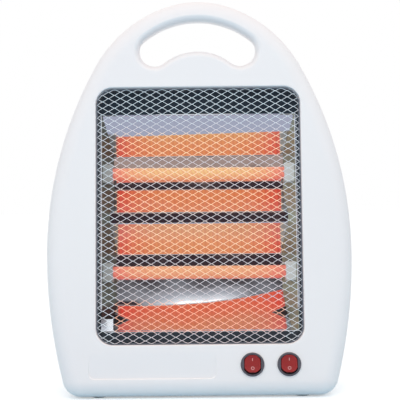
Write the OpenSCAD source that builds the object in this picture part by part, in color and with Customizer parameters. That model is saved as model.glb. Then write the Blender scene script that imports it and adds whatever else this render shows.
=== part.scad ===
// Two-tube quartz bar heater with a carrying handle, rocker switches and a tip-over cut-out.
// X runs to the right, the front faces -Y, Z is up, and the origin is on the floor.

/* [Body] */
// Width over the widest line of the shells
body_w = 302; // [296:1:316]
// Height from the floor to the crown
body_h = 394; // [388:1:406]
// Depth at the floor
base_depth = 112; // [108:1:126]
// Depth at the crown
top_depth = 46; // [46:1:56]
// Angle that the face leans back
face_lean = 5.5; // [4:0.5:6.5]
// Wall of both shells
wall = 2.4; // [2:0.1:3]
// Depth of the front shell, square to the face
front_depth = 30; // [28:0.5:32]
// Radius of the crown
crown_r = 97; // [90:1:104]
// Half angle of the crown's arc
crown_angle = 19; // [16:1:22]
// Radius of each shoulder
shoulder_r = 129; // [122:1:134]
// Angle at which a shoulder ends
shoulder_angle = 61; // [58:1:63]
// Radius of the sides below the widest line
skirt_r = 500; // [420:10:700]
// Radius of the two lower corners
corner_r = 19; // [18.5:0.5:24]
// Width of the rolled front edge
roll_w = 17; // [14:0.5:18]
// Depth of the rolled front edge
roll_d = 14; // [10:0.5:18]
// Width of the rolled back edge
back_roll_w = 12; // [9:0.5:14]
// Depth of the rolled back edge
back_roll_d = 10; // [8:0.5:12]

/* [Handle] */
// Height of the grip above its opening
grip_h = 21; // [19:0.5:23]
// Radius of the opening's middle line
grip_r = 68.6; // [66:0.2:72]
// Height of the opening
grip_gap = 30.6; // [28:0.2:33]
// Half angle of the opening
grip_angle = 38.6; // [36:0.2:41]
// Width of the opening's rounded front mouth
grip_mouth = 3; // [2:0.5:3]
// Depth of that rounding
grip_nose = 10; // [8:0.5:12]
// Draft of the opening behind it, in millimetres per millimetre
grip_draft = 0.13; // [0.1:0.01:0.15]
// Rounding of the opening's back edge
grip_edge = 1.5; // [1:0.1:2]
// Wall round the opening
grip_wall = 3; // [2.6:0.1:3.6]

/* [Window] */
// Width of the window
window_w = 203; // [200:0.5:205]
// Distance from the crown down to the window
window_drop = 87; // [85:1:91]
// Corner radius of the window
window_r = 16.6; // [14:0.2:20]
// Distance from the floor up the face to the window
window_v = 53; // [51:0.5:55]
// Depth of the lip behind the window's edge
lip_depth = 8; // [7:0.5:9]
// Thickness of that lip
lip_t = 2; // [1.6:0.1:2.4]

/* [Guard] */
// Diamonds across the guard
mesh_cols = 8; // [5:1:8]
// Diamonds up the guard
mesh_rows = 17; // [10:1:17]
// Width of a strand
strand_w = 1.5; // [1:0.1:2]
// Thickness of the expanded sheet
strand_t = 0.8; // [0.6:0.1:1]
// Depth of the net behind the face
mesh_depth = 4; // [2.5:0.5:5]
// Gap between the guard and the window's edge
guard_gap = 0.5; // [0.3:0.1:0.8]
// Reach of the guard's flange behind the lip
guard_flange = 2.5; // [1.5:0.1:3]

/* [Heating unit] */
// Depth of the front pan's floor
pan_depth = 14; // [13:0.5:15]
// Gauge of the pan, brackets and shield
sheet_t = 0.8; // [0.6:0.1:1]
// Gauge of the polished reflector
mirror_t = 0.6; // [0.5:0.1:0.8]
// Reach of the pan's flange past the window
pan_flange = 5; // [4.5:0.1:6]
// Width of the mirror's mouth
mouth_w = 194; // [190:0.5:195]
// Inward slope of each mirror end, in millimetres over its depth
end_flare = 15; // [11:0.5:17]
// Height of the lower tube up the face
tube_low_v = 124; // [122:0.5:128]
// Distance of the upper tube below the window's top
tube_drop = 84; // [82:0.5:87]
// Depth of the tubes behind the face
tube_depth = 24; // [23.5:0.1:25]
// Diameter of a quartz tube
tube_d = 12; // [10:0.5:12]
// Wall of a quartz tube
tube_t = 1; // [0.8:0.1:1.2]
// Length of a quartz tube
tube_l = 186; // [182:1:188]
// Turns of each heating coil
coil_turns = 15; // [8:1:15]
// Diameter of a coil's middle line
coil_d = 7; // [6:0.2:7.2]
// Diameter of the resistance wire
wire_d = 0.9; // [0.7:0.1:1.2]
// Length of a tube inside its ceramic holder
seat_l = 7; // [6:0.5:8]
// Length of a ceramic holder
holder_l = 18; // [17:0.5:20]
// Depth of a ceramic holder
holder_d = 14; // [13.6:0.2:14.4]
// Height of a ceramic holder
holder_h = 19; // [16:0.5:20]
// Gap round a tube in its holder
tube_gap = 0.2; // [0.1:0.05:0.3]

// Width of the ridge between the two troughs
ridge_w = 11; // [9:0.5:13]
// Height of the ridge's middle above the lower tube
ridge_rise = 55.5; // [53:0.5:58]
// Focal length of the lower trough below its tube
focus_low = 35; // [32:0.5:36]
// Focal length of the lower trough above its tube
focus_mid = 31; // [29:0.5:33]
// Focal length of the upper trough
focus_high = 25; // [24:0.5:28]
// Gap between the heat shield and the rear shell
shield_gap = 10; // [8:0.5:12]

/* [Switches] */
// Distance of the second switch from the lower corner's centre
switch_inset = 30.5; // [27:0.5:35]
// Distance between the two switches
switch_pitch = 35.6; // [32:0.2:37]
// Height of the switches up the face
switch_v = 33.4; // [31:0.2:34]
// Diameter of the switch's bezel
bezel_d = 23; // [22:0.2:24]
// Diameter of the switch's barrel
barrel_d = 20; // [19.8:0.1:20.4]
// Length of the barrel behind the face
barrel_l = 15; // [14:0.5:17]
// Height of the bezel on the face
bezel_t = 2; // [1.6:0.1:2.4]
// Width of a rocker
rocker_w = 15.6; // [13:0.2:15.6]
// Height of a rocker
rocker_h = 16.8; // [16:0.1:16.8]
// Diameter of a rocker's pivot
pivot_d = 2.4; // [2:0.1:2.8]
// Angle between a rocker's two positions
rocker_throw = 20; // [16:1:22]

/* [Tip-over cut-out] */
// Distance of the cut-out from the terminal block
tip_reach = 42; // [34:1:56]
// Distance of its plunger from the front
tip_y = 62; // [58:1:66]
// Diameter of the plunger's pad
pad_d = 12; // [10:0.5:14]
// Diameter of the plunger's stem
stem_d = 4; // [3:0.2:5]
// Travel of the plunger when the heater is lifted
tip_travel = 6; // [4:0.5:7]

/* [Base and wiring] */
// Height of the rubber feet below the shells
foot_proud = 1.5; // [1:0.1:2.5]
// Diameter of a rubber foot
foot_d = 14; // [11:0.5:14]
// Distance of the feet from the lower corners' centres
foot_inset = 16.6; // [13:0.1:27]
// Distance of the cord gland from the lower corner's centre
gland_inset = 20.6; // [17:0.1:29]
// Height of the cord gland
gland_z = 32; // [30:0.5:38]
// Bore of the cord gland
gland_bore = 7.2; // [6:0.1:8]
// Distance of the case bosses from the outline
boss_inset = 16; // [15:0.5:18]
// Height of the lowest case bosses
boss_low_z = 30; // [27:1:36]
// Height of the middle case bosses
boss_mid_z = 190; // [165:1:205]
// Diameter of the case screws
screw_d = 3.5; // [3:0.1:4]
// Diameter of the sleeved leads
lead_d = 2.4; // [1.8:0.1:2.8]
// Louvres in each column on the back
louvre_rows = 12; // [6:1:12]
// Height of a louvre
louvre_h = 4; // [3:0.2:5]

/* [Hidden] */
fit = 0.2;          // gap of a seated part
run = 0.05;         // gap round a turning or sliding pin
clear = 0.6;        // gap round a part that moves past another
tol = 0.15;         // largest flat on a drawn arc
skin = 1;           // overshoot of a cutter

// Frames: the face leans back, and the back leans forward to the crown's depth.
back_lean = atan((base_depth - body_h * tan(face_lean) - top_depth) / body_h);
module face() rotate([-face_lean, 0, 0]) children();
module unlean() rotate([face_lean, 0, 0]) children();
module back() translate([0, base_depth, 0]) rotate([back_lean, 0, 0]) children();
function face_y(z) = z * tan(face_lean);
function back_y(z) = base_depth - z * tan(back_lean);
function from_face(p, d) = [p.x, face_y(p.y) + d / cos(face_lean), p.y];
function from_back(p, d) = [p.x, back_y(p.y) - d / cos(back_lean), p.y];
function to_world(y, v) = [y * cos(face_lean) + v * sin(face_lean), v * cos(face_lean) - y * sin(face_lean)];
function to_face(y, z) = [y * cos(face_lean) - z * sin(face_lean), y * sin(face_lean) + z * cos(face_lean)];

// Plain helpers.
function dir(a) = [cos(a), sin(a)];
function steps(r, sweep) = max(2, ceil(abs(sweep) / (2 * acos(1 - tol / r))));
function arc(c, r, a0, a1, n) = [for (i = [0:n]) c + r * dir(a0 + (a1 - a0) * i / n)];
function rest_of(list) = [for (i = [1:len(list) - 1]) list[i]];
function reversed(list) = [for (i = [len(list) - 1:-1:0]) list[i]];
function flipped(list) = [for (p = list) [-p.x, p.y]];
module block(lo, hi) translate(lo) cube(hi - lo);
module along_x(w) rotate([90, 0, 90]) linear_extrude(w, center = true) children();
module along_y(y0, y1) translate([0, y1, 0]) rotate([90, 0, 0]) linear_extrude(y1 - y0) children();
module rod_y(d, y0, y1) translate([0, y0, 0]) rotate([-90, 0, 0]) cylinder(d = d, h = y1 - y0, $fn = 48);
module rod_x(d, x0, x1) translate([x0, 0, 0]) rotate([0, 90, 0]) cylinder(d = d, h = x1 - x0, $fn = 48);
module rod_z(d, z0, z1) translate([0, 0, z0]) cylinder(d = d, h = z1 - z0, $fn = 48);
module rounded(w, h, r) {
  square([w - 2 * r, h], center = true);
  square([w, h - 2 * r], center = true);
  for (x = [-1, 1], y = [-1, 1]) translate([x * (w / 2 - r), y * (h / 2 - r)]) circle(r, $fn = 64);
}
module both_sides() for (s = [0, 1]) mirror([s, 0, 0]) children();

// Outline of the shells: crown, shoulder, flank, skirt and corner arcs, drawn inset by e.
flank_r = (body_w / 2 - crown_r * sin(crown_angle)
  - shoulder_r * (sin(shoulder_angle) - sin(crown_angle))) / (1 - sin(shoulder_angle));
crown_c = [0, body_h - crown_r];
shoulder_c = crown_c + (crown_r - shoulder_r) * dir(90 - crown_angle);
flank_c = shoulder_c + (shoulder_r - flank_r) * dir(90 - shoulder_angle);
skirt_c = flank_c + [flank_r - skirt_r, 0];
corner_z = foot_proud + corner_r;
corner_c = [skirt_c.x + sqrt(pow(skirt_r - corner_r, 2) - pow(skirt_c.y - corner_z, 2)), corner_z];
skirt_angle = atan2(corner_c.y - skirt_c.y, corner_c.x - skirt_c.x);
arcs = [
  [crown_c, crown_r, 90, 90 - crown_angle], [shoulder_c, shoulder_r, 90 - crown_angle, 90 - shoulder_angle],
  [flank_c, flank_r, 90 - shoulder_angle, 0], [skirt_c, skirt_r, 0, skirt_angle],
  [corner_c, corner_r, skirt_angle, -90]
];
function half_outline(e) = concat([crown_c + [0, crown_r - e]],
  [for (a = arcs, p = rest_of(arc(a[0], a[1] - e, a[2], a[3], steps(a[1], a[3] - a[2])))) p]);
function outline(e) = let (h = half_outline(e)) concat(h, flipped(reversed(rest_of(h))));

// Opening of the handle: a curved slot about the crown, drawn grown by g.
grip_c = [0, body_h - grip_h - grip_gap / 2 - grip_r];
function slot(g) = let (r = grip_gap / 2 + g, low = 90 - grip_angle, high = 90 + grip_angle,
    n = steps(grip_r + grip_gap / 2, high - low), m = steps(grip_gap / 2, 180))
  concat(arc(grip_c, grip_r + r, high, low, n), rest_of(arc(grip_c + grip_r * dir(low), r, low, low - 180, m)),
    rest_of(arc(grip_c, grip_r - r, low, high, n)),
    [for (i = [1:m - 1]) grip_c + grip_r * dir(high) + r * dir(high + 180 - 180 * i / m)]);

// Solid through a list of rings with the same number of points.
module loft(rings) {
  n = len(rings[0]);
  last = (len(rings) - 1) * n;
  polyhedron([for (r = rings, p = r) p], concat([[for (i = [0:n - 1]) i]], [[for (i = [n - 1:-1:0]) last + i]],
    [for (k = [0:len(rings) - 2], i = [0:n - 1], up = [0, 1]) let (a = k * n + i, b = k * n + (i + 1) % n)
      up == 0 ? [a, a + n, b] : [b, a + n, b + n]]));
}
roll_steps = 6;
function roll(w, d, k) = let (a = 90 * k / roll_steps) [w * (1 - sin(a)), d * (1 - cos(a))];
function front_ring(e, d) = [for (p = outline(e)) from_face(p, d)];
function back_ring(e, d) = [for (p = outline(e)) from_back(p, d)];
function slot_ring(g, d) = [for (p = slot(g)) from_face(p, d)];
function slot_back_ring(g, d) = [for (p = slot(g)) from_back(p, d)];
function drafted(d) = grip_draft * (d - grip_nose);
rear_open = drafted(top_depth + 3);
module front_slot() loft(concat([slot_ring(grip_mouth, -skin)],
  [for (k = [0:roll_steps]) let (r = roll(grip_mouth, grip_nose, k)) slot_ring(r[0], r[1])],
  [slot_ring(drafted(front_depth + skin), front_depth + skin)]));
module rear_slot(g) loft(concat([slot_ring(drafted(front_depth - skin) + g, front_depth - skin)],
  [for (k = [roll_steps:-2:0]) let (r = roll(grip_edge, grip_edge, k)) slot_back_ring(rear_open + r[0] + g, r[1])],
  [slot_back_ring(rear_open + grip_edge + g, -skin)]));

// Shells.
split_e = front_depth / cos(face_lean);
function split_y(z) = face_y(z) + split_e;
base_z = foot_proud + wall;
window_h = body_h - window_drop - window_v;
window_mid = window_v + window_h / 2;
boss_d = 2.3 * screw_d;
well_d = 2.3 * screw_d;
post_d = well_d + 2 * 1.6;
boss_at = [
  [body_w / 2 - boss_inset - pow(flank_c.y - boss_low_z, 2) / (2 * skirt_r), boss_low_z],
  [body_w / 2 - boss_inset - pow(flank_c.y - boss_mid_z, 2) / (2 * flank_r), boss_mid_z],
  shoulder_c + (shoulder_r - boss_inset) * dir(92 - shoulder_angle)
];
ear_x = window_w / 2 + pan_flange + 3.4;
ear_v = [window_v + 32, window_v + window_h - 58];
ear_d = 8;
switch_x = corner_c.x - switch_inset - switch_pitch;
switch_at = [switch_x, switch_x + switch_pitch];
module window_plate(y0, y1, grow) face() translate([0, 0, window_mid])
  along_y(y0, y1) rounded(window_w + 2 * grow, window_h + 2 * grow, window_r + grow);
module at_switch(x) face() translate([x, 0, switch_v]) children();
module at_boss(p, y) translate([p.x, y, p.y]) children();
label_side = [8.5 - corner_c.x, switch_x - 35.5];  // shallow recess beside the switches
label_w = label_side[1] - label_side[0];
label_mid = (label_side[0] + label_side[1]) / 2;
label_h = 25;
label_v = 20.5;
label_d = 1.2;

module front_shell() color("whitesmoke") difference() {
  loft(concat([for (k = [0:roll_steps]) let (r = roll(roll_w, roll_d, k)) front_ring(r[0], r[1])],
    [front_ring(0, front_depth)]));
  difference() {
    loft(concat([for (k = [0:roll_steps]) let (r = roll(roll_w - wall, roll_d - wall, k))
      front_ring(r[0] + wall, r[1] + wall)], [front_ring(wall, front_depth + skin)]));
    along_y(0, base_depth) polygon(slot(grip_wall + drafted(front_depth)));
    window_plate(wall / 2, lip_depth, lip_t);
    both_sides() {
      for (v = ear_v) face() translate([ear_x, 0, v]) rod_y(ear_d, wall / 2, lip_depth + strand_t);
      for (p = boss_at) at_boss(p, 0) rod_y(boss_d, face_y(p.y) + wall / 2 + 0.4, split_y(p.y) + skin);
    }
  }
  front_slot();
  window_plate(-skin, lip_depth + skin, 0);
  for (x = switch_at) at_switch(x) rod_y(barrel_d + 2 * fit, -skin, wall + skin);
  face() translate([label_mid, 0, label_v]) intersection() {
    along_x(label_w + 2) polygon([[-skin, 0], [label_d, 0], [0, label_h], [-skin, label_h]]);
    translate([0, 0, label_h]) along_y(-skin, label_d + skin) rounded(label_w, 2 * label_h, 3);
  }
  both_sides() {
    for (v = ear_v) face() translate([ear_x, 0, v]) rod_y(screw_d - 1, wall, lip_depth + strand_t + skin);
    for (p = boss_at) at_boss(p, 0) rod_y(screw_d - 1, split_y(p.y) - 16, split_y(p.y) + skin);
  }
}

// Rear shell, with louvres, screw wells, pads for the cord and the hole for the tip-over plunger.
louvre_w = 84;
louvre_pitch = 11;
louvre_v = 112;
seat_t = 4;         // plastic under a case screw's head
pad_x = 13;         // half width of the clamp's pad
gland_x = gland_inset - corner_c.x;
clamp_inset = 26;
clamp_y = back_y(gland_z) - clamp_inset;
clamp_l = 9;
cord_z = gland_z - (back_y(gland_z) - clamp_y) * tan(back_lean);
gland_barrel = gland_bore + 6;
gland_flange_d = gland_barrel + 5;
gland_flange_t = 2.5;
module at_gland() translate([gland_x, 0, 0]) back() translate([0, 0, gland_z / cos(back_lean)]) children();
module clamp_pair(d, z0, z1) for (s = [-1, 1])
  translate([gland_x + s * (gland_bore / 2 + 5), clamp_y, 0]) rod_z(d, z0, z1);

module rear_shell() color("white") difference() {
  loft(concat([front_ring(0, front_depth), back_ring(0, back_roll_d)],
    [for (k = [roll_steps - 1:-1:0]) let (r = roll(back_roll_w, back_roll_d, k)) back_ring(r[0], r[1])]));
  difference() {
    loft(concat([front_ring(wall, front_depth - skin)],
      [for (k = [roll_steps:-1:0]) let (r = roll(back_roll_w - wall, back_roll_d - wall, k))
        back_ring(r[0] + wall, r[1] + wall)]));
    rear_slot(grip_wall);
    both_sides() for (p = boss_at) at_boss(p, 0) rod_y(post_d, split_y(p.y), back_y(p.y) - wall / 2 - 0.5);
    block([gland_x - pad_x, clamp_y - clamp_l / 2, base_z - skin],
      [gland_x + pad_x, clamp_y + clamp_l / 2, cord_z - 1]);
  }
  rear_slot(0);
  both_sides() {
    for (p = boss_at) at_boss(p, 0) {
      rod_y(screw_d + 2 * fit, split_y(p.y) - skin, base_depth);
      rod_y(well_d, split_y(p.y) + seat_t, base_depth + skin);
    }
    for (i = [0:louvre_rows - 1]) back() translate([louvre_w / 2 + 5, 0, louvre_v + louvre_pitch * i])
      along_y(-wall - skin, skin) rounded(louvre_w, louvre_h, louvre_h / 2 - 0.1);
  }
  at_gland() rod_y(gland_barrel + 2 * fit, -wall - skin, skin);
  translate([tip_x, tip_y, 0]) rod_z(pad_d + 2 * clear, foot_proud - skin, base_z + skin);
  translate([gland_x, 0, cord_z]) rod_y(gland_bore + 2 * fit, clamp_y - clamp_l, clamp_y + clamp_l);
  clamp_pair(screw_d - 1.2, base_z + 4, cord_z);
}

// Expanded-metal guard: a flat net with a rim that turns back behind the window's lip.
net_w = window_w - 2 * guard_gap;
net_h = window_h - 2 * guard_gap;
net_r = window_r - guard_gap;
cell = [net_w / mesh_cols, net_h / mesh_rows];
gap_half = [cell.x / 2 * (1 - strand_w / cell.y), cell.y / 2 * (1 - strand_w / cell.y)];
function held(v, half) = max(strand_w - half, min(half - strand_w, v));
function gap_points(i, j) = let (c = [(i - mesh_cols / 2) * cell.x, (j - mesh_rows / 2) * cell.y],
    low = j == 0, high = j == mesh_rows, left = i == 0, right = i == mesh_cols,
    all = [c - [gap_half.x, 0], c - [0, gap_half.y], c + [gap_half.x, 0], c + [0, gap_half.y]])
  [for (k = [0:3]) if (!((k == 0 && left && !low && !high) || (k == 2 && right && !low && !high)
    || (k == 1 && low) || (k == 3 && high))) [held(all[k].x, net_w / 2), held(all[k].y, net_h / 2)]];
function in_corner(p) = let (q = [abs(p.x) - net_w / 2 + net_r, abs(p.y) - net_h / 2 + net_r])
  q.x > 0 && q.y > 0 && norm(q) > net_r - strand_w;
gaps = [for (s = [0, 0.5], i = [s:mesh_cols - s], j = [s:mesh_rows - s])
  let (g = gap_points(i, j)) if (len([for (p = g) if (in_corner(p)) p]) == 0) g];

module guard_mesh() color("gainsboro") face() translate([0, 0, window_mid]) {
  along_y(mesh_depth, mesh_depth + strand_t) difference() {
    rounded(net_w, net_h, net_r);
    for (g = gaps) polygon(g);
  }
  along_y(mesh_depth, lip_depth + strand_t) difference() {
    rounded(net_w, net_h, net_r);
    rounded(net_w - 2 * strand_t, net_h - 2 * strand_t, net_r - strand_t);
  }
  along_y(lip_depth, lip_depth + strand_t) difference() {
    rounded(window_w + 2 * guard_flange, window_h + 2 * guard_flange, window_r + guard_flange);
    rounded(net_w - 2 * strand_t, net_h - 2 * strand_t, net_r - strand_t);
  }
}

shield_y = -wall - shield_gap;

// Heating unit. The profile of the mirror is two troughs of parabolas with flat backs.
function flank(v, f, from, to, stretch = 1, n = 5) =
  [for (i = [0:n]) let (d = from + (to - from) * i / n) [tube_depth + f - d * d / (4 * f), v + stretch * d]];
tube_high_v = window_v + window_h - tube_drop;
drawn_pitch = 99;   // distance between the tubes at which the troughs are drawn
between = (tube_high_v - tube_low_v) / drawn_pitch;
ridge_low = ridge_rise - ridge_w / 2;
ridge_high = ridge_rise + ridge_w / 2 - drawn_pitch;
low_reach = tube_low_v - window_v - 13;
low_back = [-31, 19];  // ends of its flat back
high_back = [-15, 16]; // ends of the upper trough's flat back
high_reach = 38;    // upper trough's bend above its tube
hood_rise = 62;     // upper edge of the mirror above that tube
hood_drop = 23.4;   // depth where the sloping hood meets the edge
mirror_low_v = tube_low_v - low_reach - 0.5;
mirror_high_v = tube_high_v + hood_rise;
mirror_line = concat([[pan_depth, mirror_low_v]], flank(tube_low_v, focus_low, -low_reach, low_back[0]),
  flank(tube_low_v, focus_mid, low_back[1], ridge_low, between),
  flank(tube_high_v, focus_high, ridge_high, high_back[0], between),
  flank(tube_high_v, focus_high, high_back[1], high_reach),
  [[hood_drop, mirror_high_v - 0.5], [pan_depth, mirror_high_v]]);
mirror_back = max([for (p = mirror_line) p.x]) + 3;
function unit(v) = v / norm(v);
function turned(v) = [v.y, -v.x];
function side(list, i) = let (n = len(list) - 1,
    a = turned(unit(list[max(1, i)] - list[max(1, i) - 1])),
    b = turned(unit(list[min(n, i + 1)] - list[min(n, i + 1) - 1]))) (a + b) / (1 + a * b);
function folded(list, t) = concat(list, [for (i = [len(list) - 1:-1:0]) list[i] + t * side(list, i)]);
function end_x(y) = mouth_w / 2 - end_flare * (y - pan_depth) / (mirror_back - pan_depth);
module end_wedge(gap) for (s = [-1, 1]) scale([s, 1, 1]) translate([0, 0, mirror_low_v - 10])
  linear_extrude(mirror_high_v - mirror_low_v + 20) polygon([[end_x(pan_depth - 5) - gap, pan_depth - 5],
    [end_x(mirror_back + 5) - gap, mirror_back + 5], [mouth_w, mirror_back + 5], [mouth_w, pan_depth - 5]]);

module reflector() color("lightsteelblue") face() difference() {
  along_x(mouth_w + 10) polygon(folded(mirror_line, mirror_t));
  end_wedge(0.1);
}

pan_y = lip_depth + strand_t;
module ear_discs(d, sides) for (s = [-1, 1], v = ear_v)
  translate([s * ear_x, v - window_mid]) circle(d = d, $fn = sides);
module front_pan() color([0.12, 0.13, 0.18]) face() {
  translate([0, 0, window_mid]) {
    along_y(pan_y, pan_y + sheet_t) difference() {
      union() {
        rounded(window_w + 2 * pan_flange, window_h + 2 * pan_flange, window_r + pan_flange);
        ear_discs(ear_d, 48);
      }
      rounded(net_w, net_h, net_r);
      ear_discs(screw_d + 2 * fit, 32);
    }
    along_y(pan_y, pan_depth + sheet_t) difference() {
      rounded(net_w + 2 * sheet_t, net_h + 2 * sheet_t, net_r + sheet_t);
      rounded(net_w, net_h, net_r);
    }
  }
  difference() {
    translate([0, 0, window_mid]) along_y(pan_depth, pan_depth + sheet_t)
      rounded(net_w + 2 * sheet_t, net_h + 2 * sheet_t, net_r + sheet_t);
    block([-mouth_w / 2 - sheet_t - fit, pan_depth - skin, mirror_low_v - mirror_t - fit],
      [mouth_w / 2 + sheet_t + fit, pan_depth + skin + sheet_t, mirror_high_v + mirror_t + fit]);
  }
}

tube_v = [tube_low_v, tube_high_v];
holder_x = tube_l / 2 - seat_l;
module holder_hole(v) block(
  [mouth_w / 2 - end_flare - 5, tube_depth - holder_d / 2 - fit, v - holder_h / 2 - fit],
  [holder_x + holder_l + 10, tube_depth + holder_d / 2 + fit, v + holder_h / 2 + fit]);
module mirror_end() color([0.42, 0.4, 0.3]) face() {
  difference() {
    translate([0, 0, mirror_low_v]) linear_extrude(mirror_high_v - mirror_low_v) polygon([
      [end_x(pan_depth), pan_depth], [end_x(mirror_back), mirror_back],
      [end_x(mirror_back) + sheet_t, mirror_back], [end_x(pan_depth) + sheet_t, pan_depth]]);
    for (v = tube_v) holder_hole(v);
    unlean() back() block([0, shield_y - sheet_t - fit, 0], [body_w, 0, body_h]);
  }
  block([mouth_w / 2 - 0.4, pan_depth - 0.6, mirror_low_v + 22], [mouth_w / 2 + 2.2, pan_depth, mirror_high_v]);
}
module mirror_end_right() mirror_end();
module mirror_end_left() {
  mirror([1, 0, 0]) mirror_end();
  color("silver") face() translate([-mouth_w / 2, pan_depth - 0.6, mirror_low_v + 0.5])
    linear_extrude(12) polygon([[-0.4, 0], [14, 4], [13.6, 4.8], [-0.4, 0.6]]);
}

// Side brackets carry the holders between the pan and the heat shield.
web_x = mouth_w / 2 + 2.4;
bracket_low = mirror_low_v + 6;
bracket_high = mirror_high_v - 4;
shield_v = [bracket_low + 14, bracket_high - 32];
function shield_line(v, ahead) = let (low = to_face(back_y(0) + (shield_y - ahead) / cos(back_lean), 0),
    high = to_face(back_y(body_h) + (shield_y - ahead) / cos(back_lean), body_h))
  [low.x + (high.x - low.x) * (v - low.y) / (high.y - low.y), v];
bracket_reach = 11;
module side_bracket() color("silver") face() difference() {
  union() {
    translate([web_x + sheet_t / 2, 0, 0]) along_x(sheet_t) polygon([[pan_depth + sheet_t, bracket_low],
      shield_line(bracket_low, 0), shield_line(bracket_high, 0), [pan_depth + sheet_t, bracket_high]]);
    translate([web_x + bracket_reach / 2, 0, 0]) along_x(bracket_reach) polygon([
      shield_line(bracket_low, 0), shield_line(bracket_high, 0),
      shield_line(bracket_high, sheet_t), shield_line(bracket_low, sheet_t)]);
  }
  for (v = tube_v) holder_hole(v);
  unlean() back() for (v = shield_v) translate([web_x + bracket_reach / 2, 0, v])
    rod_y(screw_d - 1, shield_y - skin - sheet_t, shield_y + skin);
}
module side_bracket_right() side_bracket();
module side_bracket_left() mirror([1, 0, 0]) side_bracket();
module heat_shield() color("silver") back() difference() {
  block([-web_x - bracket_reach, shield_y, bracket_low - 4],
    [web_x + bracket_reach, shield_y + sheet_t, bracket_high - 8]);
  for (s = [-1, 1], v = shield_v) translate([s * (web_x + bracket_reach / 2), 0, v])
    rod_y(screw_d - 1, shield_y - skin, shield_y + skin + sheet_t);
}

// Round sections swept along points, with rings carried round each bend without a twist.
function carried(ts, normal, i = 0, done = []) = i == len(ts) ? done
  : let (m = unit(normal - (normal * ts[i]) * ts[i])) carried(ts, m, i + 1, concat(done, [m]));
module sweep(pts, d, start, sides = 8) {
  n = len(pts) - 1;
  ts = [for (i = [0:n]) unit(pts[min(n, i + 1)] - pts[max(0, i - 1)])];
  ms = carried(ts, start);
  loft([for (i = [0:n]) [for (k = [0:sides - 1]) let (a = 360 * k / sides)
    pts[i] + d / 2 * (cos(a) * ms[i] + sin(a) * cross(ts[i], ms[i]))]]);
}

// Quartz tubes, coils, ceramic holders and end terminals.
module at_tube(v) face() translate([0, tube_depth, v]) children();
module quartz_tube(v) color([1, 0.6, 0.25, 0.5]) at_tube(v) difference() {
  rod_x(tube_d, -tube_l / 2, tube_l / 2);
  rod_x(tube_d - 2 * tube_t, -tube_l / 2 - skin, tube_l / 2 + skin);
}
module quartz_tube_upper() quartz_tube(tube_high_v);
module quartz_tube_lower() quartz_tube(tube_low_v);

disc_x = holder_x - 2;
disc_t = 1.4;
straight = 2;
coil_x = disc_x - straight;
curl_rings = 8;
coil_pts = concat([[-disc_x, coil_d / 2, 0]],
  [for (i = [0:coil_turns * curl_rings]) let (a = 360 * i / curl_rings)
    [coil_x * (2 * i / (coil_turns * curl_rings) - 1), coil_d / 2 * cos(a), coil_d / 2 * sin(a)]],
  [[disc_x, coil_d / 2, 0]]);
coil_gap = min([for (i = [0:curl_rings * 2], k = [i + curl_rings / 2:i + 2 * curl_rings])
  norm(coil_pts[i + 1] - coil_pts[k + 1])]) - wire_d;
echo(coil_gap = coil_gap);
module heating_coil(v) color("darkorange") at_tube(v) sweep(coil_pts, wire_d, [0, 1, 0], 6);
module heating_coil_upper() heating_coil(tube_high_v);
module heating_coil_lower() heating_coil(tube_low_v);

pin_d = 3;
tab_l = 9;
tab_end = holder_x + holder_l + tab_l;
module ceramic_holder(v) color("ivory") at_tube(v) difference() {
  block([holder_x, -holder_d / 2, -holder_h / 2], [holder_x + holder_l, holder_d / 2, holder_h / 2]);
  rod_x(tube_d + 2 * tube_gap, holder_x - skin, holder_x + seat_l + fit);
  rod_x(pin_d + 2 * fit, holder_x, holder_x + holder_l + skin);
}
module end_terminal(v) color("silver") at_tube(v) {
  rod_x(tube_d - 2 * tube_t - 2 * fit, disc_x, disc_x + disc_t);
  rod_x(pin_d, disc_x, holder_x + holder_l + 2);
  block([holder_x + holder_l + fit, -0.4, -3.1], [tab_end, 0.4, 3.1]);
}
module ceramic_holder_upper_right() ceramic_holder(tube_high_v);
module ceramic_holder_lower_right() ceramic_holder(tube_low_v);
module ceramic_holder_upper_left() mirror([1, 0, 0]) ceramic_holder(tube_high_v);
module ceramic_holder_lower_left() mirror([1, 0, 0]) ceramic_holder(tube_low_v);
module end_terminal_upper_right() end_terminal(tube_high_v);
module end_terminal_lower_right() end_terminal(tube_low_v);
module end_terminal_upper_left() mirror([1, 0, 0]) end_terminal(tube_high_v);
module end_terminal_lower_left() mirror([1, 0, 0]) end_terminal(tube_low_v);

// Rocker switches. A rocker is drawn level and then tipped about its pivot, top pressed in.
pivot_y = 1.5;
pocket_y = 7;
rocker_gap = 0.3;
tilt_gap = 0.8;
rocker_round = 0.6;
crease_y = -bezel_t - 0.3;
module pill(d, w, y0, y1) intersection() {
  rod_y(d, y0, y1);
  block([-w / 2, y0 - skin, -d], [w / 2, y1 + skin, d]);
}
module switch_body(x) color([0.09, 0.09, 0.1]) at_switch(x) difference() {
  union() {
    rod_y(bezel_d, -bezel_t, 0);
    rod_y(barrel_d, -skin, barrel_l);
  }
  pill(rocker_h + rocker_round + 2 * tilt_gap, rocker_w + 2 * rocker_gap, -bezel_t - skin, pocket_y);
  translate([0, pivot_y, 0]) rod_x(pivot_d + 2 * run, -rocker_w / 2 - 1.3, rocker_w / 2 + 1.3);
}
module rocker(x) color("firebrick") at_switch(x) translate([0, pivot_y, 0])
  rotate([rocker_throw / -2, 0, 0]) {
    intersection() {
      along_x(rocker_w) polygon([
        [crease_y - pivot_y - rocker_h / 2 * tan(rocker_throw / 2), -rocker_h / 2], [crease_y - pivot_y, 0],
        [crease_y - pivot_y - rocker_h / 2 * tan(rocker_throw / 2), rocker_h / 2],
        [0, rocker_h / 2], [3.4, 4], [3.4, -4], [0, -rocker_h / 2]]);
      rod_y(rocker_h + rocker_round, -rocker_h, rocker_h);
    }
    rod_x(pivot_d, -rocker_w / 2 - 1, rocker_w / 2 + 1);
  }
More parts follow.
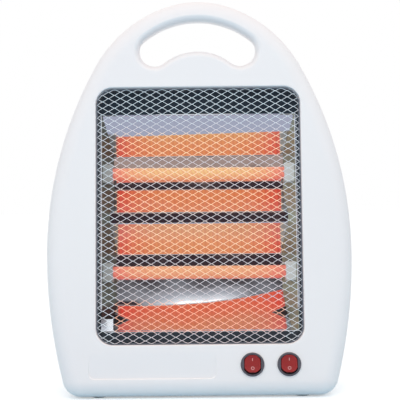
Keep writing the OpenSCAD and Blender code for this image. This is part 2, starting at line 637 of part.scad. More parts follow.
blade_l = 9;
blade_v = 5;
blade_w = 4.8;
module switch_blades(x) color("gold") at_switch(x) for (v = [-blade_v, blade_v])
  block([-blade_w / 2, barrel_l, v - 0.4], [blade_w / 2, barrel_l + blade_l, v + 0.4]);
module switch_body_left() switch_body(switch_at[0]);
module switch_body_right() switch_body(switch_at[1]);
module rocker_left() rocker(switch_at[0]);
module rocker_right() rocker(switch_at[1]);
module switch_blades_left() switch_blades(switch_at[0]);
module switch_blades_right() switch_blades(switch_at[1]);

// Tip-over cut-out: the floor holds the plunger in, and the spring drops it when the heater tips.
tip_w = 24;
tip_t = 14;
chamber_d = stem_d + 4;
chamber_z = base_z + 3;
chamber_h = tip_travel + 11;
collar_z = chamber_z + tip_travel + 0.3;
collar_t = 1.5;
module at_tip() translate([tip_x, tip_y, 0]) children();
module tip_switch_body() color([0.16, 0.16, 0.18]) at_tip() difference() {
  block([-tip_w / 2, -tip_t / 2, base_z], [tip_w / 2, tip_t / 2, chamber_z + chamber_h + 2]);
  rod_z(pad_d + 2 * clear, base_z - skin, base_z + 1.2);
  rod_z(stem_d + 2 * run, base_z, chamber_z + skin);
  rod_z(chamber_d, chamber_z, chamber_z + chamber_h);
}
module tip_plunger() color("black") at_tip() {
  rod_z(pad_d, 0, base_z + 0.6);
  rod_z(stem_d, base_z, collar_z + collar_t + 1.5);
  rod_z(chamber_d - 1, collar_z, collar_z + collar_t);
}
module tip_spring() color("silver") at_tip() difference() {
  rod_z(chamber_d - 1, collar_z + collar_t, chamber_z + chamber_h);
  rod_z(stem_d + 0.8, collar_z, chamber_z + chamber_h + skin);
}

// Supply side: terminal block, clamp and gland.
block_c = [gland_x + 40, 72];
tip_x = block_c.x + tip_reach;
block_w = 38;
block_t = 16;
block_h = 15;
pole_x = [-12, 0, 12];
module at_block() translate([block_c.x, block_c.y, base_z]) children();
module terminal_block() color("white") at_block() difference() {
  block([-block_w / 2, -block_t / 2, 0], [block_w / 2, block_t / 2, block_h]);
  for (x = pole_x) translate([x, 0, 0]) {
    rod_z(5, 8, block_h + skin);
    translate([0, 0, 5]) rod_y(lead_d + 2 * fit, -block_t, block_t);
  }
}
module terminal_screws() color("gold") at_block()
  for (x = pole_x) translate([x, 0, 0]) rod_z(4.6, 8, block_h - 2);
module cord_clamp() color("ivory") difference() {
  block([gland_x - pad_x, clamp_y - clamp_l / 2, cord_z], [gland_x + pad_x, clamp_y + clamp_l / 2, cord_z + 7]);
  translate([gland_x, 0, cord_z]) rod_y(gland_bore, clamp_y - clamp_l, clamp_y + clamp_l);
  clamp_pair(screw_d, cord_z - skin, cord_z + 8);
}
module clamp_screws() color("silver") {
  clamp_pair(screw_d - 1.2, base_z + 6, cord_z + 7);
  clamp_pair(screw_d + 2, cord_z + 7, cord_z + 9);
}
module cord_gland() color([0.1, 0.1, 0.11]) at_gland() difference() {
  union() {
    rod_y(gland_flange_d, 0, gland_flange_t);
    rod_y(gland_barrel, -wall - skin, skin);
    rod_y(gland_barrel + 3, -wall - 3, -wall);
  }
  rod_y(gland_bore, -wall - 3 - skin, gland_flange_t + skin);
}

// Rubber feet under both shells.
foot_x = corner_c.x - foot_inset;
foot_y = [roll_d + foot_d / 2 + 0.5, base_depth - back_roll_d - foot_d / 2 - 1];
module foot(x, y) color([0.12, 0.12, 0.12]) translate([x, y, 0]) rod_z(foot_d, 0, foot_proud);
module foot_front_left() foot(-foot_x, foot_y[0]);
module foot_front_right() foot(foot_x, foot_y[0]);
module foot_rear_left() foot(-foot_x, foot_y[1]);
module foot_rear_right() foot(foot_x, foot_y[1]);

// Screws.
module case_screws() color("silver") both_sides() for (p = boss_at) at_boss(p, split_y(p.y)) {
  rod_y(screw_d - 1, -12, seat_t);
  rod_y(well_d - 2 * fit - 0.6, seat_t, seat_t + 2.2);
}
module pan_screws() color("silver") face() both_sides() for (v = ear_v) translate([ear_x, pan_y, v]) {
  rod_y(screw_d - 1, -lip_depth + wall + 1, sheet_t);
  rod_y(ear_d - 2, sheet_t, sheet_t + 2);
}
module shield_screws() color("silver") back() both_sides() for (v = shield_v)
  translate([web_x + bracket_reach / 2, shield_y, v]) {
  rod_y(screw_d - 1, -4, sheet_t);
  rod_y(screw_d + 2, sheet_t, sheet_t + 1.8);
}

// Sleeved leads. Each end sits square on its terminal, and the points between are chosen by hand.
strip_l = 3;        // straight stretch off a terminal
function on_face(x, y, v) = let (w = to_world(y, v)) [x, w[0], w[1]];
function blade_end(i, up, off = 0) = on_face(switch_at[i], barrel_l + blade_l + off, switch_v + up * blade_v);
function pole(i, s, off = 0) = [block_c.x + pole_x[i], block_c.y + s * (block_t / 2 - 3 + off), base_z + 5];
function tab_point(s, v, off = 0) = on_face(s * (tab_end + off), tube_depth, v);
function tip_side(s, off = 0) = [tip_x + s * (tip_w / 2 + off), tip_y, base_z + 12];
module lead(pts, colour) color(colour) sweep(pts, lead_d, [0.13, 0.11, 1]);
module lead_live() lead([pole(2, -1), pole(2, -1, 8), [-42, 52, 9], [-38, 50, 12], [-34, 56, 15],
  tip_side(-1, strip_l), tip_side(-1)], "sienna");
module lead_feed() lead([tip_side(1), tip_side(1, strip_l), [14, 58, 17], [30, 50, 20], [44, 44, 24],
  blade_end(0, -1, strip_l + 2), blade_end(0, -1)], "sienna");
module lead_link() color("sienna") at_switch(0) translate([0, barrel_l + blade_l - 3, -blade_v])
  rod_x(lead_d, switch_at[0] + blade_w / 2, switch_at[1] - blade_w / 2);
module lead_upper() lead([blade_end(1, 1), blade_end(1, 1, strip_l + 2), [94, 42, 42], [110, 44, 52],
  [120, 46, 64], [123, 51, 90], [123, 54, 150], [123, 54, 200], [123, 50, 214],
  tab_point(1, tube_high_v, strip_l), tab_point(1, tube_high_v)], "maroon");
module lead_lower() lead([blade_end(0, 1), blade_end(0, 1, strip_l + 2), [60, 50, 46], [90, 56, 54],
  [108, 54, 58], [116, 47, 70], [120, 41, 90], [122, 38, 110],
  tab_point(1, tube_low_v, strip_l), tab_point(1, tube_low_v)], "maroon");
module lead_return_upper() lead([tab_point(-1, tube_high_v), tab_point(-1, tube_high_v, strip_l),
  [-123, 50, 214], [-123, 54, 200], [-123, 52, 150], [-122, 46, 90], [-119, 46, 60], [-104, 50, 44],
  [-84, 52, 24], [-70, 52, 11], pole(0, -1, 8), pole(0, -1)], "royalblue");
module lead_return_lower() lead([tab_point(-1, tube_low_v), tab_point(-1, tube_low_v, strip_l),
  [-121, 39, 110], [-117, 40, 84], [-112, 44, 64], [-96, 52, 54], [-76, 74, 44], [-66, 90, 26],
  [-66, 90, 11], pole(0, 1, 8), pole(0, 1)], "royalblue");
module lead_earth() lead([pole(1, 1), pole(1, 1, 6), [-56, 92, 12], [-54, 92, 24], [-56, 74, 46],
  [-62, 50, 50], on_face(-74, 22, 47), on_face(-79, 16, 49),
  on_face(-80, pan_y + sheet_t + strip_l, window_v - 2.6),
  on_face(-80, pan_y + sheet_t, window_v - 2.6)], "olivedrab");

// The origin lies under the middle of the whole heater, from the rocker's lower edge to the gland's rim.
rocker_lip = let (y = crease_y - pivot_y - rocker_h / 2 * tan(rocker_throw / 2), z = -rocker_h / 2,
    c = cos(rocker_throw / 2), s = sin(rocker_throw / 2))
  to_world(pivot_y + y * c + z * s, switch_v - y * s + z * c)[0];
gland_rim = base_depth + gland_flange_t * cos(back_lean)
  - (gland_z / cos(back_lean) - gland_flange_d / 2) * sin(back_lean);
origin_y = (rocker_lip + gland_rim) / 2;
echo(origin_y = origin_y, foot_x = foot_x, gland_x = gland_x, switch_x = switch_x);
module centred() translate([0, -origin_y, 0]) children();

centred() front_shell();
centred() rear_shell();
centred() guard_mesh();
centred() front_pan();
centred() reflector();
centred() mirror_end_left();
centred() mirror_end_right();
centred() side_bracket_left();
centred() side_bracket_right();
centred() heat_shield();
centred() quartz_tube_upper();
centred() quartz_tube_lower();
centred() heating_coil_upper();
centred() heating_coil_lower();
centred() ceramic_holder_upper_left();
centred() ceramic_holder_upper_right();
centred() ceramic_holder_lower_left();
centred() ceramic_holder_lower_right();
centred() end_terminal_upper_left();
centred() end_terminal_upper_right();
centred() end_terminal_lower_left();
centred() end_terminal_lower_right();
centred() switch_body_left();
centred() switch_body_right();
centred() rocker_left();
centred() rocker_right();
centred() switch_blades_left();
centred() switch_blades_right();
centred() tip_switch_body();
centred() tip_plunger();
centred() tip_spring();
centred() terminal_block();
centred() terminal_screws();
centred() cord_clamp();
centred() clamp_screws();
centred() cord_gland();
centred() foot_front_left();
centred() foot_front_right();
centred() foot_rear_left();
centred() foot_rear_right();
centred() case_screws();
centred() pan_screws();
centred() shield_screws();
centred() lead_live();
centred() lead_feed();
centred() lead_link();
centred() lead_upper();
centred() lead_lower();
centred() lead_return_upper();
centred() lead_return_lower();
centred() lead_earth();
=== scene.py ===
import math
import bmesh
import bpy
import numpy as np
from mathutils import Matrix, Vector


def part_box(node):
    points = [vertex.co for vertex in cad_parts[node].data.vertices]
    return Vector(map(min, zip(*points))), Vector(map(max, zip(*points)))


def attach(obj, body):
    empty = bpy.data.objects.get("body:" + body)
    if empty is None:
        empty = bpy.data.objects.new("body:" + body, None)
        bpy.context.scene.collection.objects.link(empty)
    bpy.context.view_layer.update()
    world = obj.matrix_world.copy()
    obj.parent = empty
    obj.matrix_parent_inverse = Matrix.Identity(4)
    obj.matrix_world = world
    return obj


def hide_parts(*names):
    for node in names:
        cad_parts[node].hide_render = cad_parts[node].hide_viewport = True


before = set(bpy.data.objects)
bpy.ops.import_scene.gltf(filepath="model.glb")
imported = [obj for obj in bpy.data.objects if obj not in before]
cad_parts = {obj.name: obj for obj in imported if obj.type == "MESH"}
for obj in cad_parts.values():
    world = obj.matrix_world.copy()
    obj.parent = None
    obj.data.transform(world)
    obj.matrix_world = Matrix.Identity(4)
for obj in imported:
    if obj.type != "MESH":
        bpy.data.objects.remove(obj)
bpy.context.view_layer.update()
print("frame loaded")

# Sizes are in millimetres, as on a drawing, and meshObject turns them into metres.
body = {
    "width": 302, "height": 394, "baseDepth": 112, "topDepth": 46, "faceLean": 5.5, "wall": 2.4,
    "frontDepth": 30, "crownRadius": 97, "crownAngle": 19, "shoulderRadius": 129, "shoulderAngle": 61,
    "skirtRadius": 500, "cornerRadius": 19, "rollWidth": 17, "rollDepth": 14, "backRollWidth": 12,
    "backRollDepth": 10, "footProud": 1.5, "footDiameter": 14, "footX": 99.96, "footInsets": (0.5, 1),
    "seam": 0.45,
}
lean = math.radians(body["faceLean"])
backLean = math.atan((body["baseDepth"] - body["height"] * math.tan(lean) - body["topDepth"])
                     / body["height"])
footDepths = (body["rollDepth"] + body["footDiameter"] / 2 + body["footInsets"][0],
              body["baseDepth"] - body["backRollDepth"] - body["footDiameter"] / 2 - body["footInsets"][1])
footLow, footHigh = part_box("foot_front_left")
originY = footDepths[0] - 500 * (footLow.y + footHigh.y)  # lays the drawing's front foot on the frame's


def placed(name, data):
    made = bpy.data.objects.new(name, data)
    bpy.context.scene.collection.objects.link(made)
    return made


# Camera, a long lens a metre away at the height of the guard
view = {"lens": 91.5, "distance": 1036.5, "height": 193, "side": 1.2, "roll": 0.57}
cameraData = bpy.data.cameras.new("camera")
cameraData.lens = view["lens"]
cameraData.clip_start, cameraData.clip_end = 0.05, 60
camera = placed("camera", cameraData)
camera.location = (view["side"] / 1000, -view["distance"] / 1000, view["height"] / 1000)
camera.rotation_euler = (math.pi / 2, math.radians(view["roll"]), 0)
bpy.context.scene.camera = camera
bpy.context.scene.view_settings.view_transform = "Standard"


# Shader maths as expressions on sockets
class Wire:
    def __init__(self, tree, socket):
        self.tree, self.socket = tree, socket

    def maths(self, operation, first, second=None):
        return self.tree.node("ShaderNodeMath", {"operation": operation}, {0: first, 1: second})

    def __add__(self, other):
        return self.maths("ADD", self, other)

    def __radd__(self, other):
        return self.maths("ADD", other, self)

    def __sub__(self, other):
        return self.maths("SUBTRACT", self, other)

    def __rsub__(self, other):
        return self.maths("SUBTRACT", other, self)

    def __mul__(self, other):
        return self.maths("MULTIPLY", self, other)

    def __rmul__(self, other):
        return self.maths("MULTIPLY", other, self)

    def __truediv__(self, other):
        return self.maths("DIVIDE", self, other)

    def __rtruediv__(self, other):
        return self.maths("DIVIDE", other, self)

    def __abs__(self):
        return self.maths("ABSOLUTE", self)

    def between(self, low, high):
        return self.tree.node("ShaderNodeMapRange", {"interpolation_type": "SMOOTHSTEP"},
                              {"Value": self, "From Min": low, "From Max": high})


class NodeTree:
    def __init__(self, tree):
        self.tree = tree
        tree.nodes.clear()

    def node(self, kind, settings=None, inputs=None, output=0):
        made = self.tree.nodes.new(kind)
        for name, value in (settings or {}).items():
            if name == "stops":
                while len(made.color_ramp.elements) < len(value):
                    made.color_ramp.elements.new(1)
                for element, (place, colour) in zip(made.color_ramp.elements, value):
                    element.position, element.color = place, (*colour, 1)
            else:
                setattr(made, name, value)
        for name, value in (inputs or {}).items():
            if isinstance(value, Wire):
                self.tree.links.new(value.socket, made.inputs[name])
            elif value is not None:
                made.inputs[name].default_value = value
        return Wire(self, made.outputs[output]) if made.outputs else made

    def place(self, axis=None):
        point = self.node("ShaderNodeTexCoord", output=3)
        return point if axis is None else self.node("ShaderNodeSeparateXYZ", None, {0: point}, output=axis)

    def scaled(self, x, y, z):
        return self.node("ShaderNodeVectorMath", {"operation": "MULTIPLY"}, {0: self.place(), 1: (x, y, z)})

    def noise(self, scale, detail=2.0, vector=None, distortion=0.0):
        return self.node("ShaderNodeTexNoise", None, {
            "Vector": vector or self.place(), "Scale": scale, "Detail": detail, "Distortion": distortion})

    def mixed(self, mask, first, second):
        return self.node("ShaderNodeMix", {"data_type": "RGBA"}, {0: mask, 6: first, 7: second}, output=2)

    def ramp(self, value, *stops):
        return self.node("ShaderNodeValToRGB", {"stops": stops}, {0: value})

    def bump(self, height, strength, distance):
        return self.node("ShaderNodeBump", None, {
            "Height": height, "Strength": strength, "Distance": distance})


def colour(red, green, blue):
    return (red, green, blue, 1)


def material(name, surface):
    made = bpy.data.materials.new(name)
    made.use_nodes = True
    tree = NodeTree(made.node_tree)
    tree.node("ShaderNodeOutputMaterial", None, {"Surface": surface(tree)})
    return made


def finish(name, build):
    return material(name, lambda tree: tree.node("ShaderNodeBsdfPrincipled", None, build(tree)))


# Rings and the solids drawn through them
def onFace(x, depth, height):
    return np.stack([x, depth * math.cos(lean) + height * math.sin(lean),
                     height * math.cos(lean) - depth * math.sin(lean)], axis=-1)


def onBack(x, out, height):
    return np.stack([x, body["baseDepth"] + out * math.cos(backLean) - height * math.sin(backLean),
                     height * math.cos(backLean) + out * math.sin(backLean)], axis=-1)


def behindFront(x, depth, z):
    return np.stack([x, z * math.tan(lean) + depth / math.cos(lean), z + 0 * depth], axis=-1)


def beforeBack(x, depth, z):
    y = body["baseDepth"] - z * math.tan(backLean) - depth / math.cos(backLean)
    return np.stack([x, y, z + 0 * depth], axis=-1)


def upright(x, y, z):
    return np.stack([x, y + 0 * z, z], axis=-1)


def fromFloor(x, z, y):
    # rings lie flat and rise from the floor
    return upright(x, y, z)


def direction(angle):
    return np.array([math.cos(math.radians(angle)), math.sin(math.radians(angle))])


def arc(centre, radius, start, end, count):
    angles = np.radians(np.linspace(start, end, count + 1))
    return np.asarray(centre) + radius * np.stack([np.cos(angles), np.sin(angles)], axis=1)


def circle(radius, count=48, centre=(0, 0)):
    return arc(centre, radius, 0, 360, count)[:-1]


def roundedRing(width, height, radius, centre=(0, 0), count=8, sidePoints=12):
    ring = []
    for corner, (signX, signY) in enumerate([(1, 1), (-1, 1), (-1, -1), (1, -1)]):
        middle = np.array([signX * (width / 2 - radius), signY * (height / 2 - radius)])
        ring.append(arc(middle, radius, 90 * corner, 90 * corner + 90, count))
    points = []
    for corner in range(4):
        points.append(ring[corner])
        start, end = ring[corner][-1], ring[(corner + 1) % 4][0]
        share = np.linspace(0, 1, sidePoints + 1)[1:-1, None]
        points.append(start + (end - start) * share)
    return np.concatenate(points) + np.asarray(centre)


def roundOver(width, depth, steps):
    angles = np.linspace(0, math.pi / 2, steps + 1)
    return [(width * (1 - math.sin(a)), depth * (1 - math.cos(a))) for a in angles]


def loft(rings, closed=False):
    count, total = len(rings[0]), len(rings)
    faces = []
    for k in range(total if closed else total - 1):
        first, second = k * count, (k + 1) % total * count
        for i in range(count):
            j = (i + 1) % count
            faces.append((first + i, second + i, second + j, first + j))
    if not closed:
        faces.append(tuple(range(count)))
        faces.append(tuple(range((total - 1) * count + count - 1, (total - 1) * count - 1, -1)))
    return np.concatenate(rings), faces


def solid(levels, closed=False):
    rings = [mapping(ring[:, 0], depth + 0 * ring[:, 0], ring[:, 1]) for mapping, ring, depth in levels]
    return loft(rings, closed)


def stack(mapping, levels, closed=False):
    return solid([(mapping, ring, depth) for ring, depth in levels], closed)


def lathe(mapping, profile, middle=(0, 0), count=40, closed=False):
    return stack(mapping, [(circle(radius, count, middle), depth) for radius, depth in profile], closed)


def rod(mapping, radius, start, end, middle=(0, 0), count=48):
    return lathe(mapping, [(radius, start), (radius, end)], middle, count)


def joined(shapes):
    points, faces, start = [], [], 0
    for corners, sides in shapes:
        points.append(corners)
        faces += [tuple(start + i for i in side) for side in sides]
        start += len(corners)
    return np.concatenate(points), faces


def meshObject(name, shape):
    points, faces = shape
    mesh = bpy.data.meshes.new(name)
    mesh.from_pydata(((points - [0, originY, 0]) / 1000).tolist(), [], faces)
    made = bmesh.new()
    made.from_mesh(mesh)
    bmesh.ops.recalc_face_normals(made, faces=made.faces)
    made.to_mesh(mesh)
    made.free()
    return placed(name, mesh)


def settle(piece):
    shown = bpy.data.meshes.new_from_object(piece.evaluated_get(bpy.context.evaluated_depsgraph_get()))
    piece.modifiers.clear()
    piece.data = shown


def combineWith(piece, other):
    cut = piece.modifiers.new("cut", "BOOLEAN")
    cut.operation, cut.solver, cut.object = "DIFFERENCE", "MANIFOLD", other
    settle(piece)
    bpy.data.objects.remove(other)


def combine(piece, shape):
    combineWith(piece, meshObject("cutter", shape))


def shade(piece, angle=32):
    made = bmesh.new()
    made.from_mesh(piece.data)
    bmesh.ops.remove_doubles(made, verts=made.verts, dist=2e-7)
    for side in made.faces:
        side.smooth = True
    for edge in made.edges:
        edge.smooth = len(edge.link_faces) == 2 and edge.calc_face_angle() < math.radians(angle)
    made.to_mesh(piece.data)
    made.free()
    normals = piece.modifiers.new("normals", "WEIGHTED_NORMAL")
    normals.keep_sharp = True
    settle(piece)


def seat(name, piece, finished, node, rides="root", angle=32):
    if isinstance(piece, tuple):
        piece = meshObject(name, piece)
    piece.name = name
    shade(piece, angle)
    piece.data.materials.clear()
    piece.data.materials.append(finished)
    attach(piece, rides)
    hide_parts(node)
    return piece


# Outline of both shells: crown, shoulder, flank, skirt and corner arcs
crownCentre = np.array([0, body["height"] - body["crownRadius"]])
crownEdge, shoulderEdge = direction(90 - body["crownAngle"]), direction(90 - body["shoulderAngle"])
flankRadius = (body["width"] / 2 - body["crownRadius"] * crownEdge[0]
               - body["shoulderRadius"] * (shoulderEdge[0] - crownEdge[0])) / (1 - shoulderEdge[0])
shoulderCentre = crownCentre + (body["crownRadius"] - body["shoulderRadius"]) * crownEdge
flankCentre = shoulderCentre + (body["shoulderRadius"] - flankRadius) * shoulderEdge
skirtCentre = flankCentre + [flankRadius - body["skirtRadius"], 0]
cornerZ = body["footProud"] + body["cornerRadius"]
cornerCentre = np.array([skirtCentre[0] + math.sqrt((body["skirtRadius"] - body["cornerRadius"]) ** 2
                                                    - (skirtCentre[1] - cornerZ) ** 2), cornerZ])
skirtAngle = math.degrees(math.atan2(*(cornerCentre - skirtCentre)[::-1]))


def outline(inset):
    half = [crownCentre + [0, body["crownRadius"] - inset]]
    for centre, radius, start, end, count in (
            (crownCentre, body["crownRadius"], 90, 90 - body["crownAngle"], 16),
            (shoulderCentre, body["shoulderRadius"], 90 - body["crownAngle"], 90 - body["shoulderAngle"], 44),
            (flankCentre, flankRadius, 90 - body["shoulderAngle"], 0, 40),
            (skirtCentre, body["skirtRadius"], 0, skirtAngle, 24),
            (cornerCentre, body["cornerRadius"], skirtAngle, -90, 16)):
        half.extend(arc(centre, radius - inset, start, end, count)[1:])
    half = np.array(half)
    other = half[:0:-1] * [-1, 1]
    floor = half[-1] + (other[0] - half[-1]) * np.linspace(0, 1, 41)[1:-1, None]
    return np.concatenate([half, floor, other])


grip = {"bar": 21, "radius": 68.6, "gap": 30.6, "angle": 38.6, "mouth": 6.5, "nose": 10, "draft": 0.13,
        "edge": 1.5, "wall": 3}
gripCentre = np.array([0, body["height"] - grip["bar"] - grip["gap"] / 2 - grip["radius"]])


def slot(grow):
    reach = grip["gap"] / 2 + grow
    low, high = 90 - grip["angle"], 90 + grip["angle"]
    return np.concatenate([
        arc(gripCentre, grip["radius"] + reach, high, low, 48),
        arc(gripCentre + grip["radius"] * direction(low), reach, low, low - 180, 32)[1:],
        arc(gripCentre, grip["radius"] - reach, low, high, 48)[1:],
        arc(gripCentre + grip["radius"] * direction(high), reach, high + 180, high, 32)[1:-1]])


# Shells
window = {"width": 203, "height": 254, "radius": 16.6, "low": 53, "lipDepth": 8, "lip": 2, "edge": 1.3}
windowMiddle = (0, window["low"] + window["height"] / 2)
switch = {"x": 50.46, "pitch": 35.6, "height": 33.4, "bezel": 23, "bezelDepth": 2, "barrel": 20,
          "barrelLength": 15}
recess = {"width": 123, "height": 25, "middle": -46.55, "low": 20.5, "depth": 1.2, "radius": 5, "edge": 0.8}
case = {"bossInset": 16, "bossLow": 30, "bossMid": 190, "bossTurn": 92, "screw": 3.5, "seat": 4,
        "wellEdge": 0.8, "headHeight": 2.2}
gland = {"x": -95.96, "z": 32, "bore": 7.2, "barrel": 13.2, "flange": 18.2, "flangeDepth": 2.5}
clamp = {"padHalf": 13, "length": 9, "inset": 26}
tip = {"x": -13.96, "y": 62, "pad": 12, "gap": 0.6}
louvre = {"rows": 12, "pitch": 11, "low": 112, "width": 84, "height": 4, "edge": 0.8, "fromMiddle": 5}
skin = 1.0  # how far a cutter stands proud of what it cuts
play = 0.2  # clearance round barrels, bores and screws
wellDiameter = 2.3 * case["screw"]
postDiameter = wellDiameter + 3.2
bossReach = body["width"] / 2 - case["bossInset"]
bossPlaces = [(bossReach - (flankCentre[1] - z) ** 2 / (2 * radius), z)
              for z, radius in ((case["bossLow"], body["skirtRadius"]), (case["bossMid"], flankRadius))]
bossPlaces.append(tuple(shoulderCentre + (body["shoulderRadius"] - case["bossInset"])
                        * direction(case["bossTurn"] - body["shoulderAngle"])))
bossPlaces += [(-x, z) for x, z in bossPlaces]
switchPlaces = [(switch["x"], switch["height"]), (switch["x"] + switch["pitch"], switch["height"])]
glandMiddle = (gland["x"], gland["z"] / math.cos(backLean))


def splitY(z):
    return z * math.tan(lean) + body["frontDepth"] / math.cos(lean)


def backY(z):
    return body["baseDepth"] - z * math.tan(backLean)


clamp["y"] = backY(gland["z"]) - clamp["inset"]
clamp["cordHeight"] = gland["z"] - clamp["inset"] * math.tan(backLean)


def windowRing(grow):
    return roundedRing(window["width"] + 2 * grow, window["height"] + 2 * grow, window["radius"] + grow,
                       windowMiddle, 12, 24)


def drafted(depth):
    return grip["draft"] * (depth - grip["nose"])


def frontSlot(grow):
    nose = [(slot(g + grow), d) for g, d in roundOver(grip["mouth"], grip["nose"], 16)]
    end = body["frontDepth"] + skin
    levels = [(slot(grip["mouth"] + grow), -skin)] + nose + [(slot(drafted(end) + grow), end)]
    return stack(behindFront, levels)


def rearSlot(grow):
    start, wide = body["frontDepth"] - skin, drafted(body["topDepth"] + 3)
    edge = [(beforeBack, slot(wide + g + grow), d) for g, d in roundOver(grip["edge"], grip["edge"], 6)[::-1]]
    return solid([(behindFront, slot(drafted(start) + grow), start)] + edge
                 + [(beforeBack, slot(wide + grip["edge"] + grow), -skin)])


def frontShell():
    seam, wall, lip, edge = body["seam"], body["wall"], windowRing(window["lip"]), window["edge"]
    levels = [(outline(e), d) for e, d in roundOver(body["rollWidth"], body["rollDepth"], 14)]
    levels += [(outline(seam * s), body["frontDepth"] - seam * (1 - s)) for s in (0, 0.3, 1)]
    shell = meshObject("frontShell", stack(behindFront, levels))
    inner = [(outline(e + wall), d + wall) for e, d in
             roundOver(body["rollWidth"] - wall, body["rollDepth"] - wall, 8)]
    inner.append((outline(wall), body["frontDepth"] + skin))
    hollow = meshObject("hollow", stack(behindFront, inner))
    combine(hollow, frontSlot(grip["wall"]))
    combine(hollow, stack(onFace, [(lip, wall / 2), (lip, window["lipDepth"])]))
    combine(hollow, joined([rod(upright, wellDiameter / 2, z * math.tan(lean) + wall / 2 + 0.4,
                                splitY(z) + skin, (x, z), 32) for x, z in bossPlaces]))
    combineWith(shell, hollow)
    combine(shell, frontSlot(0))
    levels = [(windowRing(edge), -skin)] + [(windowRing(g), d) for g, d in roundOver(edge, edge, 6)]
    combine(shell, stack(onFace, levels + [(windowRing(0), window["lipDepth"] + skin)]))
    holes = [rod(onFace, switch["barrel"] / 2 + play, -skin, wall + skin, place) for place in switchPlaces]
    combine(shell, joined(holes + [recessCutter()]))
    return shell


def recessCutter():
    # its floor runs out to nothing at the top
    middle = (recess["middle"], recess["low"] + recess["height"])
    sunk = 0.02
    levels = []
    for grow, share in roundOver(recess["edge"], 1, 6):
        points = roundedRing(recess["width"] + 2 * grow, 2 * (recess["height"] + grow),
                             recess["radius"] + grow, middle, 10, 40)
        points[:, 1] = np.minimum(points[:, 1], middle[1])
        rise = (points[:, 1] - recess["low"]) / recess["height"]
        levels.append((points, share * (recess["depth"] * (1 - rise) - sunk) - sunk * (1 - share)))
    return stack(onFace, [(levels[0][0], -skin)] + levels)


def rearShell():
    seam, wall = body["seam"], body["wall"]
    rings = [(behindFront, outline(seam * s), body["frontDepth"] + seam * (1 - s)) for s in (1, 0.3, 0)]
    rings += [(beforeBack, outline(e), d)
              for e, d in roundOver(body["backRollWidth"], body["backRollDepth"], 12)[::-1]]
    shell = meshObject("rearShell", solid(rings))
    inner = [(beforeBack, outline(e + wall), d + wall) for e, d in
             roundOver(body["backRollWidth"] - wall, body["backRollDepth"] - wall, 8)[::-1]]
    hollow = meshObject("hollow", solid([(behindFront, outline(wall), body["frontDepth"] - skin)] + inner))
    combine(hollow, rearSlot(grip["wall"]))
    combine(hollow, joined([rod(upright, postDiameter / 2, splitY(z), backY(z) - wall / 2 - 0.5, (x, z), 40)
                            for x, z in bossPlaces]))
    pad = roundedRing(2 * clamp["padHalf"], 2 * (clamp["cordHeight"] - 1), 0.6, (gland["x"], 0), 4, 4)
    combine(hollow, stack(upright, [(pad, clamp["y"] + s * clamp["length"] / 2) for s in (-1, 1)]))
    combineWith(shell, hollow)
    combine(shell, rearSlot(0))
    cuts = [screwWell(x, z) for x, z in bossPlaces]
    for side in (-1, 1):
        across = side * (louvre["width"] / 2 + louvre["fromMiddle"])
        cuts += [louvreCut((across, louvre["low"] + louvre["pitch"] * row)) for row in range(louvre["rows"])]
    combine(shell, joined(cuts))
    combine(shell, joined([
        rod(onBack, gland["barrel"] / 2 + play, -wall - skin, skin, glandMiddle),
        rod(fromFloor, tip["pad"] / 2 + tip["gap"], body["footProud"] - skin,
            body["footProud"] + wall + skin, (tip["x"], tip["y"])),
        rod(upright, gland["bore"] / 2 + play, clamp["y"] - clamp["length"], clamp["y"] + clamp["length"],
            (gland["x"], clamp["cordHeight"]), 32)]))
    return shell


def screwWell(x, z):
    screw, well, edge = case["screw"] / 2 + play, wellDiameter / 2, case["wellEdge"]
    seatY = splitY(z) + case["seat"]
    profile = [(screw, splitY(z) - skin), (screw, seatY), (well, seatY + 0.001)]
    profile += [(well + g, backY(z) - d) for g, d in roundOver(edge, edge, 5)[::-1]]
    return lathe(upright, profile + [(well + edge, backY(z) + skin + 3)], (x, z))


def louvreCut(middle):
    width, height, edge = louvre["width"], louvre["height"], louvre["edge"]

    def ring(grow):
        return roundedRing(width + 2 * grow, height + 2 * grow, height / 2 - 0.1 + grow, middle, 8, 20)

    levels = [(ring(0), -body["wall"] - skin)] + [(ring(g), -d) for g, d in roundOver(edge, edge, 5)[::-1]]
    return stack(onBack, levels + [(ring(edge), skin)])


# Guard: zigzag strands bonded into diamonds, rolled back round the window's edge
guard = {"gap": 0.5, "columns": 17, "rows": 39, "depth": 4.4, "bend": 4.1, "strandWidth": 0.56,
         "strandThickness": 0.55, "twist": 28, "bondHalf": 0.55, "bondLap": 0.32, "sheet": 0.8, "flange": 2.5}
netWidth, netHeight = window["width"] - 2 * guard["gap"], window["height"] - 2 * guard["gap"]
netRadius = window["radius"] - guard["gap"]


def rolledBack(across, up, deep):
    # flat inside the bend line, then round the bend towards the back
    bend = guard["bend"]
    half = np.array([netWidth / 2 - netRadius, netHeight / 2 - netRadius])
    over = np.stack([np.abs(across) - half[0], np.abs(up) - half[1]], axis=-1)
    corner = np.maximum(over, 0)
    length = np.hypot(corner[..., 0], corner[..., 1])
    inside = np.minimum(np.max(over, axis=-1), 0)
    past = length + inside - (netRadius - bend)
    safe = np.where(length > 1e-9, length, 1)
    straight = np.where((over[..., 0] > over[..., 1])[..., None], [1.0, 0.0], [0.0, 1.0])
    way = np.where((length > 1e-9)[..., None], corner / safe[..., None], straight)
    way = way * np.stack([np.sign(across), np.sign(up)], axis=-1)
    turn = np.clip(past, 0, None) / bend
    shift = np.where(past > 0, (bend - deep) * np.sin(np.minimum(turn, math.pi / 2)) - past, 0)
    depth = np.where(past > 0, bend - (bend - deep) * np.cos(np.minimum(turn, math.pi / 2)), deep)
    raised = windowMiddle[1] + up + way[..., 1] * shift
    return (across + way[..., 0] * shift, guard["depth"] + depth, raised), past


